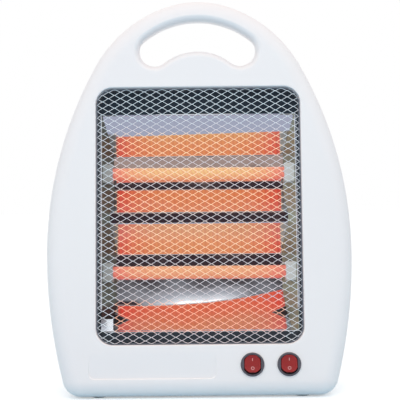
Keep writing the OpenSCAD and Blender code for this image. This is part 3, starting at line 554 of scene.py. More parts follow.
def strand(row):
    stepX, stepY = netWidth / guard["columns"] / 2, netHeight / guard["rows"] / 2
    base = row * stepY - netHeight / 2
    lap = guard["bondLap"] * (guard["strandWidth"] / 2)
    path = []
    for column in range(2 * guard["columns"] + 1):
        x = column * stepX - netWidth / 2
        y = base + (stepY - lap if (column + row) % 2 == 0 else lap)
        path += [(x - guard["bondHalf"], y), (x + guard["bondHalf"], y)]
    path = np.array(path)
    fine = [path[0]]
    for a, b in zip(path[:-1], path[1:]):
        _, past = rolledBack(np.array([a[0], b[0]]), np.array([a[1], b[1]]), np.zeros(2))
        slanting = abs(b[1] - a[1]) > 0
        pieces = 1 if slanting and max(past) < 0 else (6 if slanting else 2)
        fine += [a + (b - a) * k / pieces for k in range(1, pieces + 1)]
    return np.array(fine)


def strandShapes():
    shapes, limit = [], guard["bend"] * math.pi / 2 - 0.1
    tilt = math.radians(guard["twist"])
    for row in range(2 * guard["rows"]):
        path = strand(row)
        along = np.gradient(path, axis=0)
        along /= np.linalg.norm(along, axis=1)[:, None]
        along[:, 1] *= 0.8
        side = np.stack([-along[:, 1], along[:, 0]], axis=1)
        rings = []
        for k in range(6):
            u = guard["strandWidth"] / 2 * math.cos(k * math.pi / 3 + 0.5)
            w = guard["strandThickness"] / 2 * math.sin(k * math.pi / 3 + 0.5)
            across, deep = u * math.cos(tilt) - w * math.sin(tilt), u * math.sin(tilt) + w * math.cos(tilt)
            place, past = rolledBack(path[:, 0] + side[:, 0] * across, path[:, 1] + side[:, 1] * across,
                                     np.full(len(path), deep))
            rings.append(onFace(*place))
        _, past = rolledBack(path[:, 0], path[:, 1], np.zeros(len(path)))
        rings = np.stack(rings, axis=1)
        kept = past < limit
        run = []
        for i, inside in enumerate(list(kept) + [False]):
            if inside:
                run.append(rings[i])
            else:
                if len(run) > 2:
                    shapes.append(loft(run))
                run = []
    return shapes


def guardRim():
    lip, sheet, inner = window["lipDepth"], guard["sheet"], netWidth - 2 * guard["sheet"]

    def ring(width, radius):
        return roundedRing(width, width - window["width"] + window["height"], radius, windowMiddle, 12, 24)

    outer, outerRadius = window["width"] + 2 * guard["flange"], window["radius"] + guard["flange"]
    innerRadius = netRadius - sheet
    section = [(inner + 0.1, innerRadius + 0.05, lip - 0.25), (inner, innerRadius, lip + 0.1),
               (inner, innerRadius, lip + sheet - 0.1), (inner + 0.2, innerRadius + 0.1, lip + sheet),
               (outer - 0.2, outerRadius - 0.1, lip + sheet), (outer, outerRadius, lip + sheet - 0.1),
               (outer, outerRadius, lip + 0.1), (outer - 0.2, outerRadius - 0.1, lip),
               (netWidth + 0.3, netRadius + 0.15, lip), (netWidth, netRadius, lip - 0.25)]
    return stack(onFace, [(ring(width, radius), depth) for width, radius, depth in section], closed=True)


# Pan, a glossy enamelled tray with the mirror's mouth cut in its floor
pan = {"depth": 14, "sheet": 0.8, "flange": 5, "flangeDepth": 8.8, "fold": 1.6, "earDiameter": 8,
       "earBore": 3.9, "earX": 109.9, "earRise": (32, 196)}
mirror = {
    "sheet": 0.6, "mouth": 194, "flare": 15, "lowTube": 124, "pitch": 99, "tubeDepth": 24, "ridge": 55.5,
    "ridgeWidth": 11, "lowFocus": 35, "backDepth": 52.1, "midFold": 19, "highFocus": 25, "highFold": -14,
    "lowReach": 58, "hoodRise": 58.6, "hoodDrop": 16, "highSlope": 0.06, "sharp": 0.3, "aimRise": 30,
    "halfSpan": 90,
    # rises of the folds above their tubes, and the sag, by distance across
    "lowFold": ((-97, -32.8), (-60, -33.5), (-20, -32.5), (8, -30.8), (33, -28), (60, -24), (85, -19),
                (97, -17)),
    "topFold": ((-97, 20.2), (97, 21.5)), "topReach": ((-97, 38.8), (97, 43.4)),
    "sag": ((-97, -0.14), (-72, -0.12), (-60, 0.0), (-46, 0.36), (-22, 0.69), (20, 0.69), (40, 0.38),
            (55, 0.0)),
    "sagRise": ((-97, 5), (-70, 6), (-45, 15), (97, 15)),
}
ceramic = {"long": 18, "deep": 14, "tall": 19, "edge": 0.9, "leadHole": 3.4}
mirrorLow = mirror["lowTube"] - mirror["lowReach"] - 0.5
mirrorHigh = mirror["lowTube"] + mirror["pitch"] + mirror["hoodRise"]
mirrorBack = mirror["tubeDepth"] + mirror["lowFocus"] + 3
tubeHeights = {"upper": mirror["lowTube"] + mirror["pitch"], "lower": mirror["lowTube"]}


def frontPan():
    sheet, fold, depth = pan["sheet"], pan["fold"], pan["depth"]
    low, flange = pan["flangeDepth"], pan["flange"]

    def ring(grow, deep):
        return (roundedRing(netWidth + 2 * grow, netHeight + 2 * grow, netRadius + grow,
                            windowMiddle, 12, 24), deep)

    def mouth(grow, deep):
        wide = mirror["mouth"] + 2 * (sheet + 0.2) - 2 * grow
        tall = mirrorHigh - mirrorLow + 2 * (mirror["sheet"] + 0.2) - 2 * grow
        return (roundedRing(wide, tall, 0.6, (0, (mirrorHigh + mirrorLow) / 2), 12, 24), deep)

    inside = [(flange - 0.2, low), (fold * 0.6, low), (0.2, low + 0.15), (0, low + 0.5), (0, depth - fold)]
    inside += [(-(fold - fold * math.cos(a)), depth - fold + fold * math.sin(a))
               for a in np.linspace(0, math.pi / 2, 7)[1:]]
    opening = [(0.2, depth), (0, depth + 0.2), (0, depth + sheet - 0.1), (0.1, depth + sheet)]
    outside = [(-fold, depth + sheet)]
    outside += [(sheet - (fold + sheet) * (1 - math.cos(a)), depth - fold + (fold + sheet) * math.sin(a))
                for a in np.linspace(math.pi / 2, 0, 7)[1:]]
    outside += [(sheet, low + sheet), (flange - 0.2, low + sheet), (flange, low + sheet - 0.1),
                (flange, low + 0.1)]
    levels = [ring(*place) for place in inside] + [mouth(*place) for place in opening]
    return stack(onFace, levels + [ring(*place) for place in outside], closed=True)


def panEars():
    sheet, low = pan["sheet"], pan["flangeDepth"]
    outer, bore = pan["earDiameter"] / 2, pan["earBore"] / 2
    profile = [(outer - 0.1, low), (outer, low + 0.1), (outer, low + (sheet - 0.1)),
               (outer - 0.1, low + sheet), (bore, low + sheet), (bore, low)]
    return joined([lathe(onFace, profile, (side * pan["earX"], window["low"] + rise), closed=True)
                   for side in (-1, 1) for rise in pan["earRise"]])


def eased(start, end, count):
    # finer towards both ends, where the folds are
    return start + (end - start) * (0.5 - 0.5 * np.cos(np.linspace(0, math.pi, count + 1)))


def softened(line, reach):
    lengths = np.concatenate([[0], np.cumsum(np.linalg.norm(np.diff(line, axis=0), axis=1))])
    held = np.minimum(reach, 0.02 + np.minimum(lengths, lengths[-1] - lengths) / 3)
    gap = (lengths[:, None] - lengths[None, :]) / held[:, None]
    weight = np.gradient(lengths) * np.exp(-0.5 * gap ** 2)
    return weight @ line / weight.sum(axis=1)[:, None]


def troughFlank(middle, focus, start, end, count):
    rise = eased(start, end, count)
    return np.stack([mirror["tubeDepth"] + focus - rise * rise / (4 * focus), middle + rise], axis=1)


def aimedFlank(middle, depth, start, end, count):
    # shows the tube to an eye at the height of the guard
    rise = eased(start, end, count)
    way = math.tan(lean) + (middle + mirror["aimRise"] - view["height"]) / view["distance"]
    line = [(depth, middle + start)]
    for low, high in zip(rise, rise[1:]):
        depth = line[-1][0]
        toTube = np.array([mirror["tubeDepth"] - depth, -low]) / math.hypot(mirror["tubeDepth"] - depth, low)
        normal = toTube - np.array([1, way]) / math.hypot(1, way)
        line.append((depth - (high - low) * normal[1] / normal[0], middle + high))
    return np.array(line)


def straight(start, end, count):
    return np.stack([eased(a, b, count) for a, b in zip(start, end)], axis=1)


def acrossMirror(name, x):
    places, values = zip(*mirror[name])
    return np.interp(x, places, values)


def mirrorProfile(x):
    # the folds run slightly out of true, and the sheet sags into the middle of the lowest one
    low, high = tubeHeights["lower"], tubeHeights["upper"]
    lowFold, topFold = acrossMirror("lowFold", x), acrossMirror("topFold", x)
    topReach, sag = acrossMirror("topReach", x), acrossMirror("sag", x)
    back, ridgeHalf = mirror["backDepth"] - mirror["tubeDepth"], mirror["ridgeWidth"] / 2
    lowFocus, midFocus = [(deep + math.hypot(deep, fold)) / 2
                          for deep, fold in ((back + sag, lowFold), (back, mirror["midFold"]))]
    flanks = [troughFlank(low, lowFocus, -mirror["lowReach"], lowFold, 30),
              troughFlank(low, midFocus, mirror["midFold"], mirror["ridge"] - ridgeHalf, 26),
              troughFlank(high, mirror["highFocus"], mirror["ridge"] + ridgeHalf - mirror["pitch"],
                          mirror["highFold"], 24)]
    flatTop = flanks[2][-1][0] - mirror["highSlope"] * (topFold - mirror["highFold"])
    flanks.append(aimedFlank(high, flatTop, topFold, topReach, 24))
    flats = [straight((mirror["backDepth"], low + lowFold), flanks[1][0], 60),
             straight(flanks[1][-1] + [0.1, 0], flanks[2][0], 16),
             straight(flanks[2][-1], flanks[3][0], 24)]
    above = (flats[0][:, 1] - low - lowFold) / acrossMirror("sagRise", x)
    flats[0][:, 0] += sag * np.clip(1 - above, 0, 1) ** 2
    line = [straight((pan["depth"], mirrorLow), flanks[0][0], 20)[:-1]]
    for flank, flat in zip(flanks, flats):
        line += [flank, flat[1:-1]]
    hood, rim = (mirror["hoodDrop"], mirrorHigh - 0.5), (pan["depth"], mirrorHigh)
    line += [flanks[3], straight(flanks[3][-1], hood, 30)[1:], straight(hood, rim, 12)[1:]]
    return softened(np.concatenate(line), mirror["sharp"])


def mirrorEdge(depth):
    return mirror["mouth"] / 2 - mirror["flare"] * (depth - pan["depth"]) / (mirrorBack - pan["depth"])


def slab(top, bottom):
    # closed solid between two grids of points
    rows, columns = top.shape[:2]
    count = rows * columns
    points = np.concatenate([top.reshape(-1, 3), bottom.reshape(-1, 3)])
    faces = []
    for r in range(rows - 1):
        for c in range(columns - 1):
            i = r * columns + c
            faces.append((i, i + 1, i + columns + 1, i + columns))
            faces.append((count + i, count + i + columns, count + i + columns + 1, count + i + 1))
    last = (rows - 1) * columns
    rim = (list(range(columns)) + [r * columns + columns - 1 for r in range(1, rows)]
           + [last + c for c in range(columns - 2, -1, -1)] + [r * columns for r in range(rows - 2, 0, -1)])
    for a, b in zip(rim, rim[1:] + rim[:1]):
        faces.append((a, count + a, count + b, b))
    return points, faces


def reflectorShape():
    columns = [[], []]
    for share in np.linspace(-1, 1, 121):
        profile = mirrorProfile(share * mirror["halfSpan"])
        along = np.gradient(profile, axis=0)
        along /= np.linalg.norm(along, axis=1)[:, None]
        outward = np.stack([along[:, 1], -along[:, 0]], axis=1)
        for column, offset in zip(columns, (0, mirror["sheet"])):
            line = profile + outward * offset
            x, rise = share * (mirrorEdge(line[:, 0]) - 0.1), line[:, 1]
            wave = (0.10 * np.sin(x / 23 + rise / 31) + 0.07 * np.sin(x / 13 - rise / 19 + 1.3)
                    + 0.05 * np.sin(x / 7.3 + rise / 9 + 0.4))
            wave *= np.clip((rise - mirrorLow) / 12, 0, 1) * np.clip((mirrorHigh - rise) / 12, 0, 1)
            column.append(onFace(x, line[:, 0] + wave * 0.5, rise))
    return slab(*[np.stack(column, axis=1) for column in columns])


def alongTube(rise, side=1):
    return lambda a, s, b: onFace(side * s + 0 * a, mirror["tubeDepth"] + a, rise + b)


def mirrorEnd(side):
    depths, rises = np.linspace(pan["depth"], mirrorBack, 14), np.linspace(mirrorLow, mirrorHigh, 60)

    def grid(thick):
        return np.array([[onFace(side * (mirrorEdge(d) + thick), d, v) for v in rises] for d in depths])

    plate = meshObject("mirrorEnd", slab(grid(0), grid(pan["sheet"])))
    hole = roundedRing(ceramic["deep"] + 2 * play, ceramic["tall"] + 2 * play, 0.5, (0, 0), 4, 2)
    for rise in tubeHeights.values():
        combine(plate, stack(alongTube(rise, side), [(hole, s) for s in (70, 110)]))
    return plate


# Tubes, coils, ceramics and the tab beside the lower left holder
tube = {"diameter": 12, "wall": 1, "length": 186, "seat": 7, "chamfer": 0.3, "coil": 7, "wire": 0.9,
        "turns": 96}
tab = {"long": 12, "wide": 11.5, "thick": 0.8, "bend": 4.0, "curl": 0.5}
holderX = tube["length"] / 2 - tube["seat"]


def quartzTube(rise):
    outer, end, chamfer = tube["diameter"] / 2, tube["length"] / 2, tube["chamfer"]
    inner = outer - tube["wall"]
    profile = [(outer - chamfer, -end), (outer, -end + chamfer)]
    profile += [(outer, s) for s in np.linspace(-80, 80, 33)]
    profile += [(outer, end - chamfer), (outer - chamfer, end), (inner + chamfer, end),
                (inner, end - chamfer), (inner, -end + chamfer), (inner + chamfer, -end)]
    return lathe(alongTube(rise), profile, count=48, closed=True)


def tubeAlong(points, radius, sides=8):
    points = np.array(points, float)
    way = np.gradient(points, axis=0)
    way /= np.linalg.norm(way, axis=1)[:, None]
    normal = np.array([0.13, 0.11, 1.0])
    rings = []
    for point, forward in zip(points, way):
        normal = normal - normal.dot(forward) * forward
        normal /= np.linalg.norm(normal)
        other = np.cross(forward, normal)
        angles = np.linspace(0, 2 * math.pi, sides, endpoint=False)[:, None]
        rings.append(point + radius * (np.cos(angles) * normal + np.sin(angles) * other))
    return loft(rings)


def heatingCoil(rise):
    reach, turns = holderX - 4, tube["turns"]
    angle = np.linspace(0, 2 * math.pi * turns, turns * 14 + 1)
    x = np.linspace(-reach, reach, len(angle)) + 0.25 * np.sin(angle / 37)
    radius = tube["coil"] / 2
    sag = 0.35 * np.sin(x / 11) * np.cos(x / 29)
    points = np.stack([x, radius * np.cos(angle), radius * np.sin(angle) - 0.5 + sag * 0.5], axis=1)
    points = np.concatenate([[[-reach - 2, radius, 0]], points, [[reach + 2, radius, 0]]])
    return tubeAlong(onFace(points[:, 0], mirror["tubeDepth"] + points[:, 1], rise + points[:, 2]),
                     tube["wire"] / 2, 6)


def ceramicHolder(rise, side):
    edge, along = ceramic["edge"], alongTube(rise, side)
    levels = [(roundedRing(ceramic["deep"] - 2 * g, ceramic["tall"] - 2 * g, 1.3 - g * 0.6, (0, 0), 6, 6),
               holderX + d) for g, d in roundOver(edge, edge, 5)]
    levels += [(ring, 2 * holderX + ceramic["long"] - s) for ring, s in levels[::-1]]
    block = meshObject("ceramicHolder", stack(along, levels))
    bore = tube["diameter"] / 2 + play
    socket = [(bore + 0.7, holderX - skin), (bore + 0.7, holderX), (bore + 0.2, holderX + 0.25),
              (bore, holderX + 0.8), (bore, holderX + tube["seat"] + play)]
    combine(block, lathe(along, socket, count=48))
    end = holderX + ceramic["long"] + skin
    combine(block, rod(along, ceramic["leadHole"] / 2, holderX + 2, end, count=24))
    return block


def bentTab():
    share = np.linspace(0, 1, 12)
    rise = np.linspace(mirrorLow + 0.5, mirrorLow + 0.5 + tab["long"], 10)
    x = -mirror["mouth"] / 2 - 0.4 + tab["wide"] * share
    grids = []
    for offset in (0, tab["thick"]):
        rows = []
        for v in rise:
            curl = tab["curl"] * math.sin(math.pi * (v - rise[0]) / tab["long"])
            depth = pan["depth"] - 0.55 + tab["bend"] * share ** 1.4 + offset - 0.25 * curl
            rows.append(onFace(x, depth, v + 0 * x))
        grids.append(np.array(rows))
    return slab(*grids)


def brightLip(side):
    # folded front edge of a mirror end
    low, high = mirrorLow + 22, mirrorHigh - 0.6
    middle = side * (mirror["mouth"] / 2 + 0.9)
    ring = roundedRing(2.5, high - low, 0.5, (middle, (low + high) / 2), 5, 30)
    inner = roundedRing(1.7, high - low - 0.8, 0.3, (middle, (low + high) / 2), 5, 30)
    return stack(onFace, [(ring, pan["depth"]), (ring, pan["depth"] - 0.25), (inner, pan["depth"] - 0.6)])


# Switches
bezel = {"rim": 0.7, "pocket": 7, "rockerWidth": 15.6, "rockerHeight": 16.8, "round": 0.6, "gap": 0.3,
         "tilt": 0.8, "throw": 20, "pivot": 1.5, "crease": -2.3, "edge": 0.9, "hollow": 0.55, "pin": 1.2}
marks = {"barLow": 2.9, "barHigh": 5.6, "barHalf": 0.28, "ringMiddle": -4.2, "ringInner": 1.15,
         "ringOuter": 1.65, "sunk": -0.08, "proud": 0.15}


def pillRing(radius, width, middle=(0, 0)):
    high = math.sqrt(radius ** 2 - (width / 2) ** 2)
    top = math.degrees(math.atan2(high, width / 2))
    right = np.stack([np.full(13, width / 2), np.linspace(-high, high, 13)], axis=1)
    ring = np.concatenate([right[:-1], arc((0, 0), radius, top, 180 - top, 20)[:-1], -right[:-1],
                           arc((0, 0), radius, 180 + top, 360 - top, 20)[:-1]])
    return ring + np.asarray(middle)


def switchBody(place):
    outer, barrel, deep = switch["bezel"] / 2, switch["barrel"] / 2, switch["bezelDepth"]
    rim, end = bezel["rim"], switch["barrelLength"]
    profile = [(outer - g, -deep + d) for g, d in roundOver(rim * 1.6, rim, 8)]
    profile += [(outer, -0.3), (outer - 0.25, 0), (barrel, 0.002), (barrel, end - 0.6), (barrel - 0.6, end)]
    housing = meshObject("switchBody", lathe(onFace, profile, place, 72))
    radius = (bezel["rockerHeight"] + bezel["round"]) / 2 + bezel["tilt"]
    width = bezel["rockerWidth"] + 2 * bezel["gap"]
    pocket = [(0.5, 1.0, -deep - skin), (0.5, 1.0, -deep), (0.15, 0.3, -deep + 0.15), (0, 0, -deep + 0.5),
              (0, 0, bezel["pocket"])]
    combine(housing, stack(onFace, [(pillRing(radius + r, width + w, place), d) for r, w, d in pocket]))

    def acrossPocket(a, s, b):
        return onFace(place[0] + s, bezel["pivot"] + a, place[1] + b)

    reach = bezel["rockerWidth"] / 2 + 1.3
    combine(housing, rod(acrossPocket, bezel["pin"] + 0.05, -reach, reach, count=32))
    return housing


def tipped(place, x, y, z):
    angle = math.radians(bezel["throw"] / 2)
    return onFace(place[0] + x, bezel["pivot"] + y * math.cos(angle) + z * math.sin(angle),
                  place[1] - y * math.sin(angle) + z * math.cos(angle))


def rockerTop(z):
    # two hollowed pads that meet in a crease
    slope = math.tan(math.radians(bezel["throw"] / 2))
    reach = bezel["rockerHeight"] / 2
    hollow = bezel["hollow"] * np.sin(math.pi * np.clip(np.abs(z) / reach, 0, 1)) ** 1.3
    return bezel["crease"] - bezel["pivot"] - np.abs(z) * slope + hollow


def rockerShape(place):
    half, radius = bezel["rockerHeight"] / 2, (bezel["rockerHeight"] + bezel["round"]) / 2
    spots, edge = np.sin(np.linspace(-math.pi / 2, math.pi / 2, 26)), bezel["edge"]
    rows = np.sort(np.concatenate([np.linspace(-half, half, 53),
                                   [-half + 0.1, -half + 0.2, half - 0.2, half - 0.1]]))
    wide = np.minimum(bezel["rockerWidth"] / 2, np.sqrt(radius ** 2 - rows ** 2))
    x = spots[None, :] * wide[:, None]
    near = np.minimum(wide[:, None] - np.abs(x), (half - np.abs(rows))[:, None])
    drop = edge - np.sqrt(np.maximum(edge ** 2 - np.maximum(edge - near, 0) ** 2, 0))
    z = rows[:, None] + 0 * x
    top = tipped(place, x, rockerTop(z) + drop, z)
    low = tipped(place, x * 0.98, 0 * x + 0.2 + 2.6 * np.clip(1 - np.abs(z) / half, 0, 1), z * 0.99)
    return slab(top, low)


def rockerPin(place):
    long, radius = bezel["rockerWidth"] / 2 + 1, bezel["pin"]
    return lathe(lambda a, s, b: tipped(place, s + 0 * a, a, b),
                 [(1.1, -long), (radius, -long + 0.1), (radius, long - 0.1), (1.1, long)], count=24)


def rockerMarks(place):
    # a bar on the upper pad and a ring on the lower one, moulded just proud
    def raised(x, z, lift):
        return tipped(place, x, rockerTop(z) + lift, z)

    sunk, proud, inner, outer = marks["sunk"], marks["proud"], marks["ringInner"], marks["ringOuter"]
    z, x = np.meshgrid(np.linspace(marks["barLow"], marks["barHigh"], 8),
                       np.linspace(-marks["barHalf"], marks["barHalf"], 4), indexing="ij")
    bar = slab(raised(x, z, sunk), raised(x, z, proud))
    angles = np.linspace(0, 2 * math.pi, 41)[:-1]
    rings = [raised(radius * np.cos(angles), marks["ringMiddle"] + radius * np.sin(angles), lift)
             for radius, lift in ((inner, sunk), (outer, sunk), (outer, proud), (inner, proud))]
    return joined([bar, loft(rings, closed=True)])


# Screws, gland and feet
def crossScrew(mapping, middle, top, headRadius, headHeight, shank, length, turn):
    # pan head with a cross recess, head outward at top and shank inward
    rounded = headHeight * 0.55
    profile = [(shank * 0.25, top - (headHeight + length)), (shank, top - (headHeight + length - 1.2)),
               (shank, top - headHeight), (headRadius, top - headHeight), (headRadius, top - rounded)]
    profile += [(headRadius * math.cos(a), top - rounded * (1 - math.sin(a)))
                for a in np.linspace(0.25, 1.45, 7)]
    screw = meshObject("screw", lathe(mapping, profile, middle))
    slit = roundedRing(headRadius * 1.15, headRadius * 0.3, headRadius * 0.1, (0, 0), 4, 2)
    for spin in (turn, turn + math.pi / 2):
        arm = slit @ np.array([[math.cos(spin), math.sin(spin)], [-math.sin(spin), math.cos(spin)]])
        combine(screw, stack(mapping, [(arm + middle, top + skin),
                                       (arm * 0.55 + middle, top - headHeight * 0.75)]))
    return screw


def glandShape():
    bore, barrel, rim = gland["bore"] / 2, gland["barrel"] / 2, gland["flange"] / 2
    thick, wall = gland["flangeDepth"], body["wall"]
    profile = [(bore + 0.7, thick), (bore + 1.4, thick - 0.05), (bore + 1.6, thick - 0.45),
               (bore + 2.0, thick - 0.5), (bore + 2.3, thick - 0.1), (rim - 1.6, thick - 0.1)]
    profile += [(rim - 1.2 + 1.2 * math.sin(a), thick - 1.3 + 1.2 * math.cos(a))
                for a in np.linspace(0.2, math.pi / 2, 6)]
    profile += [(rim, 0.15), (rim - 0.15, 0), (barrel, 0), (barrel, -wall), (barrel + 1.3, -wall),
                (barrel + 1.5, -wall - 0.3), (barrel + 0.9, -wall - 3), (bore + 0.4, -wall - 3),
                (bore, -wall - 2.6), (bore, thick - 0.7)]
    return lathe(onBack, profile, glandMiddle, 56, closed=True)


def footShape(middle):
    radius = body["footDiameter"] / 2
    profile = [(radius * 0.5, 0.25), (radius * 0.62, 0.22), (radius * 0.68, 0.02), (radius - 0.5, 0)]
    profile += [(radius - 0.5 + 0.5 * math.sin(a), 0.5 - 0.5 * math.cos(a))
                for a in np.linspace(0.2, math.pi / 2, 5)]
    return lathe(fromFloor, profile + [(radius, body["footProud"])], middle, 48)


# Finishes
def shellPlastic(tree):
    cloud, grain = tree.noise(8, 3), tree.noise(1500, 2)
    tint = tree.mixed(cloud.between(0.3, 0.7), colour(0.962, 0.894, 0.886), colour(0.97, 0.906, 0.894))
    return {"Base Color": tint, "Roughness": 0.27 + 0.12 * cloud,
            "Normal": tree.bump(grain + 0.3 * tree.noise(260, 2), 0.12, 0.0002)}


def sheetMetal(red, green, blue, roughness, grain=(900, 60, 60), dulled=0.12, strength=0.15, metallic=1.0):
    def build(tree):
        lines = tree.noise(1, 3, tree.scaled(*grain))
        patches = tree.noise(35, 4, None, 0.4).between(0.42, 0.68)
        dull = colour(red * 0.82, green * 0.82, blue * 0.84)
        return {"Base Color": tree.mixed(patches * 0.6, colour(red, green, blue), dull), "Metallic": metallic,
                "Roughness": roughness + dulled * patches + 0.06 * lines,
                "Normal": tree.bump(lines, strength, 0.0001)}
    return build


# painted light on the strands from the hot bands behind them, a warm tint and a glow, heights in millimetres
bands = {
    "low": 60, "span": 260, "topStop": 0.83, "outside": 3, "inside": 2,
    "heights": ((65, 94), (117, 128), (140, 170), (181, 203), (212, 225), (237, 259)),
    "tint": {"cool": (0.99, 0.90, 0.93), "ember": (1.0, 0.72, 0.54), "warm": (1.0, 0.88, 0.66),
             "top": (0.95, 0.99, 1.0)},
    "paintedGlow": {"cool": (0.0, 0.0, 0.0), "ember": (0.35, 0.045, 0.004), "warm": (0.32, 0.095, 0.006),
              "top": (0.03, 0.06, 0.09)},
}


def banded(tree, height, tones):
    stops = [(0.0, tones["cool"])]
    for number, (low, high) in enumerate(bands["heights"]):
        hot = tones["warm" if number else "ember"]  # the lowest band is the red one
        for edge, tone in ((low - bands["outside"], tones["cool"]), (low + bands["inside"], hot),
                           (high - bands["inside"], hot), (high + bands["outside"], tones["cool"])):
            stops.append(((edge - bands["low"]) / bands["span"], tone))
    return tree.ramp(height, *stops, (bands["topStop"], tones["top"]))


def wireZinc(tree):
    # bright zinc, with painted warm light where the hot bands stand behind it, a painted glow there, and a
    # faint bluish painted glow elsewhere
    height = (tree.place(2) - bands["low"] / 1000) / (bands["span"] / 1000)
    # in front of the mirror the strands' colour is painted with the warm light of the hot bands, and their
    # emission with a painted glow
    lit = (0.085 - abs(tree.place(0))).between(0.0, 0.003)
    tint = tree.mixed(lit, colour(0.94, 0.97, 1.0), banded(tree, height, bands["tint"]))
    paintedGlow = tree.mixed(lit, colour(0.02, 0.03, 0.045), banded(tree, height, bands["paintedGlow"]))
    dull = tree.noise(35, 4, None, 0.4).between(0.42, 0.68)
    return {"Base Color": tree.mixed(dull * 0.3, tint, colour(0.70, 0.71, 0.74)), "Metallic": 0.1,
            "Roughness": 0.36 + 0.12 * dull, "Emission Color": paintedGlow, "Emission Strength": 0.9,
            "Normal": tree.bump(tree.noise(400, 3), 0.1, 0.0001)}


def enamel(tree):
    peel = tree.noise(380, 2)
    dust = tree.noise(2600, 3).between(0.6, 0.8)
    return {"Base Color": tree.mixed(dust * 0.35, colour(0.011, 0.020, 0.032), colour(0.045, 0.06, 0.08)),
            "Roughness": 0.2 + 0.25 * dust, "Coat Weight": 0.4, "Coat Roughness": 0.1,
            "Normal": tree.bump(peel, 0.12, 0.0003)}


# painted shade: dark wedges at both ends of the lowest trough, standing in for the shade in the sheet's
# fold-relief notches
paintedShadeWedges = {"left": {"tip": -0.070, "end": -0.086, "rise": 0.0717, "half": 0.0065},
          "right": {"tip": 0.072, "end": 0.086, "rise": 0.0785, "half": 0.006}}


def polishedMirror(tree):
    rolled = tree.noise(1, 3, tree.scaled(12, 420, 420))
    haze = tree.noise(16, 4).between(0.45, 0.8)
    ragged = tree.noise(300, 3)
    wedgeShade = 0
    # each wedge is painted dark and dull, as painted shade
    for wedge in paintedShadeWedges.values():
        along = (tree.place(0) - wedge["tip"]) / (wedge["end"] - wedge["tip"])
        inside = along * wedge["half"] - abs(tree.place(2) - wedge["rise"]) + 0.002 * (ragged - 0.5)
        wedgeShade = inside.between(0.0, 0.0014) + wedgeShade
    unshadedTone = tree.mixed(haze * 0.5, colour(0.84, 0.85, 0.88), colour(0.78, 0.79, 0.83))
    return {"Base Color": tree.mixed(wedgeShade, unshadedTone, colour(0.022, 0.019, 0.022)), "Metallic": 1 - 0.95 * wedgeShade,
            "Roughness": 0.035 + 0.04 * haze + 0.02 * rolled + 0.4 * wedgeShade,
            "Normal": tree.bump(rolled, 0.03, 0.0001)}


# straw and olive oxide that deepens next to the tubes, with painted shade and light on top: each plate's
# tones scaled darker or lighter, and near black below a given height
oxide = {"heights": (0.130, 0.228), "reach": 0.045,
         "tones": ((0.1, (0.29, 0.31, 0.235)), (0.5, (0.245, 0.25, 0.17)), (0.75, (0.17, 0.16, 0.11)),
                   (1.0, (0.13, 0.13, 0.13)))}


def heatTinted(strength, paintedShadeTop):
    def build(tree):
        height = tree.place(2)
        near = 0
        for rise in oxide["heights"]:
            near = near + 1 - abs(height - rise).between(0.0, oxide["reach"])
        blotch = tree.noise(60, 4, None, 0.6)
        # strength scales the tones, darker for a shaded plate and lighter for a lit one, as painted shade and
        # light
        stops = [(place, tuple(strength * part for part in tone)) for place, tone in oxide["tones"]]
        paintedShade = (paintedShadeTop - height + 0.006 * blotch).between(0.0, 0.006)
        tint = tree.mixed(paintedShade, tree.ramp(near * 0.5 + blotch * 0.5, *stops), colour(0.012, 0.012, 0.014))
        return {"Base Color": tint, "Metallic": 0.45, "Roughness": 0.34 + 0.2 * blotch,
                "Normal": tree.bump(tree.noise(1, 3, tree.scaled(300, 300, 30)), 0.1, 0.0001)}
    return build


# glow colours painted on each side of a tube, redder underneath and behind, which the mirror reflects
glow = {
    "upper": {"front": (0.74, 0.44, 0.13), "under": (0.74, 0.28, 0.085), "back": (0.90, 0.27, 0.066),
              "backUnder": (0.86, 0.215, 0.060)},
    "lower": {"front": (0.68, 0.285, 0.10), "under": (0.70, 0.20, 0.07), "back": (0.90, 0.30, 0.10),
              "backUnder": (0.90, 0.105, 0.024)},
}
# a tube's glow along its length, from the middle at 0 to the cool end
cooling = ((0.0, (1, 1.06, 0.98)), (0.45, (1, 1.0, 0.95)), (0.66, (1, 0.74, 0.8)), (0.76, (1, 0.42, 0.62)),
           (0.84, (0.92, 0.22, 0.5)), (0.92, (0.25, 0.08, 0.15)))


def glowingQuartz(middle, tones):
    # yellow-hot along the middle, red towards the cool ends; the redder underside and back are painted glow
    # that sets what the mirror reflects, and slanting stripes paint in the coil's turns
    def build(tree):
        along = abs(tree.place(0))
        slant = (tree.place(0) + tree.place(2) * 0.55) * (2 * math.pi / 0.0042)
        turn = tree.node("ShaderNodeMath", {"operation": "SINE"}, {0: slant})
        under = (float(middle[2]) - tree.place(2)).between(-0.002, 0.006)
        behind = (tree.place(1) - float(middle[1])).between(-0.001, 0.003)
        place = along * 10 + 0.04 * turn

        def hot(name):
            return tree.ramp(place, *[(where, tuple(a * b for a, b in zip(tones[name], share)))
                                      for where, share in cooling])

        shown = tree.mixed(behind, tree.mixed(under, hot("front"), hot("under")),
                           tree.mixed(under, hot("back"), hot("backUnder")))
        shown = tree.mixed(turn * 0.2 + 0.2, shown, colour(0.58, 0.06, 0.015))
        return {"Base Color": colour(0.35, 0.22, 0.17), "Roughness": 0.1, "Alpha": 0.95,
                "Emission Color": shown, "Emission Strength": 0.82,
                "Coat Weight": 0.2, "Coat Roughness": 0.05,
                "Normal": tree.bump(tree.noise(1, 2, tree.scaled(14, 300, 300)), 0.04, 0.0002)}
    return build


def glowingWire(tree):
    along = abs(tree.place(0))
    hot = tree.ramp(along * 10, (0.0, (1.0, 0.50, 0.14)), (0.7, (1.0, 0.40, 0.10)), (0.84, (0.7, 0.12, 0.03)),
                    (0.9, (0.06, 0.01, 0.01)))
    return {"Base Color": colour(0.2, 0.12, 0.08), "Metallic": 0.6, "Roughness": 0.5, "Emission Color": hot,
            "Emission Strength": 1.6}


